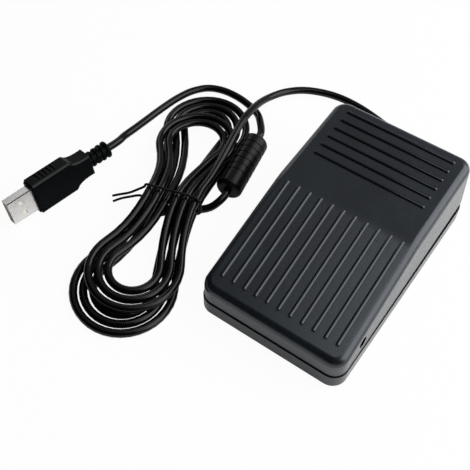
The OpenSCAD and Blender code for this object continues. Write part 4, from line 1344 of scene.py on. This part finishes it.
@dataclass
class PedalCover:
    """The rocking cover: a bent, drafted shell with rounded edges, tread ribs and its inner posts."""

    width: float = 65.0
    length: float = 105.0
    corner: float = 6.0
    wall: float = 2.0
    edge: float = 3.2
    heel: float = 8.8
    bend: float = 21.3
    toe: float = 22.4
    bend_y: float = 3.0
    bend_soft: float = 6.0
    draft: float = 2.0
    flat: float = 0.6
    upright: float = 0.4
    tilt: float = 2.0
    skirt_z: float = 9.2
    hinge: Tuple[float, float] = (-36.0, 14.5)
    hole: float = 5.0
    rib: Tuple[float, float] = (1.8, 0.8)
    heel_ribs: Tuple[int, float, float, float] = (11, 5.2, 47.5, 7.0)
    toe_ribs: Tuple[int, float, float, float] = (6, 5.2, 50.8, 6.7)
    pusher: Tuple[float, float, float, float] = (14.1, -4.0, 2.0, 19.3)
    spring_pad: Tuple[float, float, float, float] = (12.0, 28.0, 4.0, 21.3)
    post_edge: float = 0.3
    post_sides: int = 32
    boss: Point = (3.5, 3.0, 1.55)
    hook: Point = (5.0, 2.4, 1.8)
    hook_at: Point = (18.0, 42.4, 7.2)
    hook_edge: float = 0.25
    sink: float = 1.0

    def top(self, y: float) -> float:
        """Height of the level cover's top.

        Args:
            y: the place along the cover in millimetres.

        Returns:
            The height above its lower edge.
        """
        start = -self.length / 2
        if y < self.bend_y:
            return self.heel + (self.bend - self.heel) * (y - start) / (self.bend_y - start)
        return self.bend + (self.toe - self.bend) * (y - self.bend_y) / (-start - self.bend_y)

    def _at_rest(self) -> Matrix:
        """The turn of the level cover about its hinge to where it rests."""
        pivot = shift(0, *self.hinge)
        return pivot @ spin(self.tilt, "X") @ pivot.inverted()

    def rest_top(self, y: float) -> float:
        """Height of the cover's top above the floor at rest."""
        point = self._at_rest() @ Vector(mm(0, y, self.skirt_z + self.top(y)))
        return point.z / MM

    def _shell(self) -> Piece:
        """Shape the shell from a box.

        Returns:
            The shell of the level cover.
        """
        half, end, tan = self.width / 2, self.length / 2, math.tan(math.radians(self.draft))
        shell = Bench.box("cover", (-half, -end, self.skirt_z), (half, end, self.skirt_z + self.heel))
        high = (self.skirt_z + self.heel / 2) * MM

        def along(vert: bmesh.types.BMVert, y: float) -> bool:
            """Whether a corner lies at a distance along the cover."""
            return math.isclose(vert.co.y, y * MM, abs_tol=1e-5)

        def upper(y: float) -> Callable[[bmesh.types.BMVert], bool]:
            """A test for the top corners at a distance along the cover."""
            return lambda vert: vert.co.z > high and along(vert, y)

        with Bench.edit(shell):
            bpy.ops.mesh.bisect(plane_co=mm(0, self.bend_y, 0), plane_no=(0, 1, 0))
            Bench.pick(shell, Part.EDGE, lambda edge: all(along(vert, self.bend_y) for vert in edge.verts)
                       and any(vert.co.z < high for vert in edge.verts))
            bpy.ops.mesh.dissolve_edges(use_verts=True)
            for y, height in ((self.bend_y, self.bend), (end, self.toe)):
                Bench.pick(shell, Part.VERT, upper(y))
                bpy.ops.transform.translate(value=mm(0, 0, height - self.heel))
            ends = ((-end, self.heel, 1), (self.bend_y, self.bend, 0), (end, self.toe, -1))
            for y, height, inward in ends:
                Bench.pick(shell, Part.VERT, upper(y))
                bpy.ops.transform.resize(value=(1 - height * tan / half, 1, 1), center_override=(0, 0, 0))
                bpy.ops.transform.translate(value=mm(0, inward * height * tan, 0))
            Bench.pick(shell, Part.EDGE, lambda edge: all(upper(self.bend_y)(vert) for vert in edge.verts))
            Bench.round_picked(self.bend_soft / 2, segments=6)
            Bench.pick(shell, Part.EDGE, lambda edge: abs(
                (edge.verts[1].co - edge.verts[0].co).normalized().z) > FACING)
            Bench.round_picked(self.corner, segments=9)
            Bench.pick(shell, Part.EDGE, lambda edge: len(edge.link_faces) == 2
                       and max(face.normal.z for face in edge.link_faces) > self.flat
                       and abs(min(face.normal.z for face in edge.link_faces)) < self.upright)
            Bench.round_picked(self.edge, segments=7)
            Bench.pick(shell, Part.FACE, lambda face: face.normal.z < -FACING)
            bpy.ops.mesh.delete(type="FACE")
        Bench.modify(shell, "SOLIDIFY", thickness=self.wall * MM, offset=-1.0, use_even_offset=True)
        dress(shell, Finish.COVER)
        across = Bench.drill(self.hole / 2, self.width + 2 * self.hole, (0, *self.hinge), sides=40,
                             angles=(0, math.pi / 2, 0))
        # The holes' walls take the near-black finish, painted shade where the holes look dark.
        Bench.cut(shell, across, Finish.HOLE)
        return shell

    def _capsule(self, length: float) -> Piece:
        """One rib along +Y from the origin: a ball drawn out from its middle.

        Args:
            length: how far it is drawn out, in millimetres.

        Returns:
            The rib.
        """
        rib = Bench.add("rib", bpy.ops.mesh.primitive_uv_sphere_add, segments=20, ring_count=12,
                        radius=self.rib[0] / 2 * MM, rotation=(-math.pi / 2, 0, 0))
        with Bench.edit(rib):
            Bench.pick(rib, Part.FACE, lambda face: face.calc_center_median().y > 0)
            Bench.extrude(0, length, 0)
            bpy.ops.mesh.select_all(action="SELECT")
            bpy.ops.mesh.normals_make_consistent(inside=False)
        return rib

    def _ribs(self) -> List[Piece]:
        """Lay the ribs on the level cover.

        Returns:
            The ribs along the heel plate and across the toe plate.
        """
        width, height = self.rib
        half, lift = width / 2, height - width / 2
        ribs: List[Piece] = []
        count, pitch, length, margin = self.heel_ribs
        y = -self.length / 2 + margin + half
        slope = math.atan((self.bend - self.heel) / (self.bend_y + self.length / 2))
        first = self._capsule((length - width) / math.cos(slope))
        for i in range(count):
            place = shift((i - (count - 1) / 2) * pitch, y, self.skirt_z + self.top(y))
            ribs.append(Bench.copy(first, place @ Matrix.Rotation(slope, 4, "X") @ shift(0, 0, lift)))
        count, pitch, length, margin = self.toe_ribs
        second = self._capsule(length - width)
        for i in range(count):
            y = self.length / 2 - margin - i * pitch
            place = shift(length / 2 - half, y, self.skirt_z + self.top(y) + lift)
            ribs.append(Bench.copy(second, place @ spin(90, "Z")))
        for used in (first, second):
            bpy.data.objects.remove(used)
        return ribs

    def _posts(self) -> List[Piece]:
        """Shape the inner pieces of the moulding at rest.

        Returns:
            The switch pusher, the spring pad, and on each side a hinge boss and a stop hook.
        """
        posts: List[Piece] = []
        ease = self.post_edge
        for x, y, radius, low in (self.pusher, self.spring_pad):
            high = self.rest_top(y) - self.sink
            rings = [(low, radius - ease), (low + ease, radius), (high, radius)]
            post = Bench.turned("post", rings, self.post_sides)
            posts.append(Bench.move(post, shift(x, y, 0)))
        above_skirt = self.hinge[1] - self.skirt_z
        inner = self.width / 2 - above_skirt * math.tan(math.radians(self.draft)) - self.wall
        radius, length, bore = self.boss
        wide, thick, barb = self.hook
        x, leg, low = self.hook_at
        for side in (-1, 1):
            rings = [(inner - length, radius), (inner + self.sink, radius)]
            boss = Bench.turned("boss", rings, self.post_sides, bore)
            posts.append(Bench.move(boss, shift(0, *self.hinge) @ spin(side * 90, "Y")))
            hook = Bench.box("hook", (side * x - wide / 2, leg, low),
                             (side * x + wide / 2, leg + 2 * thick, low + barb))
            with Bench.edit(hook):
                bpy.ops.mesh.bisect(plane_co=mm(0, leg + thick, 0), plane_no=(0, 1, 0))
                Bench.pick(hook, Part.FACE, lambda face: face.normal.z > FACING
                           and face.calc_center_median().y < (leg + thick) * MM)
                Bench.extrude(0, 0, self.rest_top(leg) - self.sink - low - barb)
            Bench.round_sharp(hook, self.hook_edge)
            posts.append(hook)
        return posts

    def build(self) -> Piece:
        """Make the cover at rest, with glossier ribs in a darker copy of the plastic that paints shade on
        their flanks, and hinge holes whose walls are painted black as shade.

        Returns:
            The cover.
        """
        ribs = self._ribs()
        # Each rib takes the darker copy of the cover plastic, painted shade on its flanks.
        for rib in ribs:
            dress(rib, Finish.RIB)
        level = [self._shell(), *ribs]
        for piece in level:
            Bench.move(piece, self._at_rest())
        cover = Bench.join([*level, *self._posts()])
        return settle(Bench.smooth(cover, angle=34), "pedal", "cover_plastic", Finish.COVER, "pedal_cover")


@dataclass
class SoftTray:
    """The tray: a copy of its solid with every edge broken by a small radius."""

    node: str = "base_tray"
    name: str = "tray"
    radius: float = 0.25
    flat: float = 0.5
    sharp: float = 40.0
    weld: float = 0.002
    speck: float = 0.001

    def build(self) -> Piece:
        """Merge the copy, clear its flat triangles and round its edges.

        Returns:
            The tray.
        """
        piece = hang(self.name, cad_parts[self.node].data.copy())
        piece.data.materials.clear()
        with Bench.edit(piece):
            bpy.ops.mesh.remove_doubles(threshold=self.weld * MM)
            bpy.ops.mesh.dissolve_limited(angle_limit=math.radians(self.flat))
        Bench.modify(piece, "BEVEL", width=self.radius * MM, segments=2, limit_method="ANGLE",
                     angle_limit=math.radians(self.sharp), use_clamp_overlap=True)
        with Bench.edit(piece):
            bpy.ops.mesh.dissolve_degenerate(threshold=self.speck * MM)
        return settle(Bench.smooth(piece), "base", "tray_plastic", Finish.TRAY, self.node)


@dataclass
class ReturnSpring:
    """Coil spring under the toe end, pressed with its cap."""

    at: Tuple[float, float] = (12.0, 28.0)
    diameter: float = 8.6
    wire: float = 1.0
    length: float = 16.0
    turns: int = 6
    floor_z: float = 3.0
    travel: float = 2.8
    clear: float = 0.05
    per_turn: int = 28

    def build(self) -> Piece:
        """Wind the spring.

        Returns:
            The spring.
        """
        radius = (self.diameter - self.wire) / 2
        low = self.floor_z + self.wire / 2 + self.clear
        rise = self.length - self.wire - 2 * self.clear
        count = self.turns * self.per_turn
        route: List[Point] = []
        for i in range(count + 1):
            angle = 2 * math.pi * i / self.per_turn
            route.append((self.at[0] + radius * math.cos(angle), self.at[1] + radius * math.sin(angle),
                          low + rise * i / count))
        spring = Bench.tube("spring_coil", route, self.wire / 2)
        settle(spring, "base", "spring_steel", Finish.STEEL, "return_spring")
        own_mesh(spring)
        return spring


@dataclass
class InnerWires:
    """Wires in the tray: four cores from the cable to the header, and two from the switch to the board."""

    board: Tuple[float, float] = (-15.0, -4.0)
    board_top: float = 8.6
    header_rear: float = 13.8
    cord_end: float = 33.0
    exit_z: float = 5.1
    switch: Tuple[float, float] = (14.1, -4.0)
    terminal_span: float = 7.6
    terminal_z: float = 5.4
    terminal_half: float = 0.25
    board_half: float = 11.0
    pad_inset: float = 2.5
    core_count: int = 4
    core_off: float = 0.62
    core_radius: float = 0.45
    core_steps: int = 24
    core_straight: float = 0.1
    header_pitch: float = 2.2
    header_z: float = 2.4
    lead_radius: float = 0.5
    lead_reach: float = 6.0
    lead_pitch: float = 2.5
    lead_step: float = 0.5

    def cores(self) -> Piece:
        """Lay the four cores of the cable.

        Returns:
            The cores as one piece.
        """
        wires: List[Piece] = []
        off, ends = self.core_off, self.core_straight
        for i in range(self.core_count):
            side = -1 if i < self.core_count / 2 else 1
            rise = -1 if i % 2 == 0 else 1
            start = (side * off, self.cord_end, self.exit_z + rise * off)
            end = (self.board[0] + (i - (self.core_count - 1) / 2) * self.header_pitch, self.header_rear,
                   self.board_top + self.header_z)
            points: List[Point] = []
            for k in range(self.core_steps + 1):
                t = k / self.core_steps
                share = smooth_step((t - ends) / (1 - 2 * ends))
                points.append((start[0] + (end[0] - start[0]) * share, start[1] + (end[1] - start[1]) * t,
                               start[2] + (end[2] - start[2]) * share))
            wires.append(Bench.tube("cores", points, self.core_radius))
        return settle(Bench.join(wires), "base", "core_jacket", Finish.CORES, "cable_wires")

    def leads(self) -> Piece:
        """Lay the two wires of the switch.

        Returns:
            The wires as one piece.
        """
        wires: List[Piece] = []
        face, edge = self.switch[1] - self.terminal_half, self.board[0] + self.board_half
        top, z, pad = self.board_top, self.terminal_z, edge - self.pad_inset
        for i in range(2):
            x = self.switch[0] - (1 - i) * self.terminal_span
            y = face - self.lead_reach - self.lead_pitch * i
            route = [(x, face, z), (x, face - 2, z), (x - 1.5, y, z), (edge + 4, y, (z + top) / 2 + 0.5),
                     (edge + 1, y, top + 2), (pad + 0.5, y - 0.5, top + 2.5)]
            route += [(pad, y - 0.5, top + lift) for lift in (1, 0)]
            wires.append(Bench.tube("leads", spline(route, self.lead_step), self.lead_radius))
        return settle(Bench.join(wires), "base", "wire_jacket", Finish.YELLOW, "switch_wires")


DRESSED_SOLIDS: Dict[str, Finish] = {
    "rubber_feet": Finish.RUBBER, "hinge_pin": Finish.PIN, "circuit_board": Finish.BOARD,
    "board_screws": Finish.STEEL, "control_chip": Finish.CHIP, "crystal_can": Finish.STEEL,
    "board_capacitors": Finish.SLEEVED_CAN, "wire_header": Finish.IVORY, "switch_body": Finish.SWITCH,
    "switch_terminals": Finish.BRASS, "switch_plunger": Finish.RED, "switch_screws": Finish.STEEL,
    "cord_clamp": Finish.TRAY, "clamp_screws": Finish.STEEL, "spring_cap": Finish.ACETAL,
    "cable_grommet": Finish.RUBBER, "ferrite_core": Finish.FERRITE, "usb_tongue": Finish.IVORY,
    "usb_contacts": Finish.BRASS,
}


def dress_solids() -> None:
    """Give the solids that stay their finishes."""
    for name, finish in DRESSED_SOLIDS.items():
        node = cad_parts[name]
        node.data.materials.clear()
        dress(node, finish)
        log.info("%s stays, in %s", name, finish.value.name)


def main() -> None:
    """Build the studio and the pieces in order."""
    logging.basicConfig(level=logging.INFO, format="%(message)s")
    Studio().build()
    line = UsbCable()
    cable = line.build()
    on_cable = [TwistTie(line.hank).build(), line.ferrite.build(), line.plug.build_grip(),
                line.plug.build_relief(), line.plug.build_shell()]
    for name in ("ferrite_core", "usb_tongue", "usb_contacts", "cable_grommet"):
        on_cable.append(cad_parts[name])
    line.declare()
    PedalCover().build()
    SoftTray().build()
    ReturnSpring().build()
    wires = InnerWires()
    wires.cores()
    wires.leads()
    dress_solids()


if __name__ == "__main__":
    main()
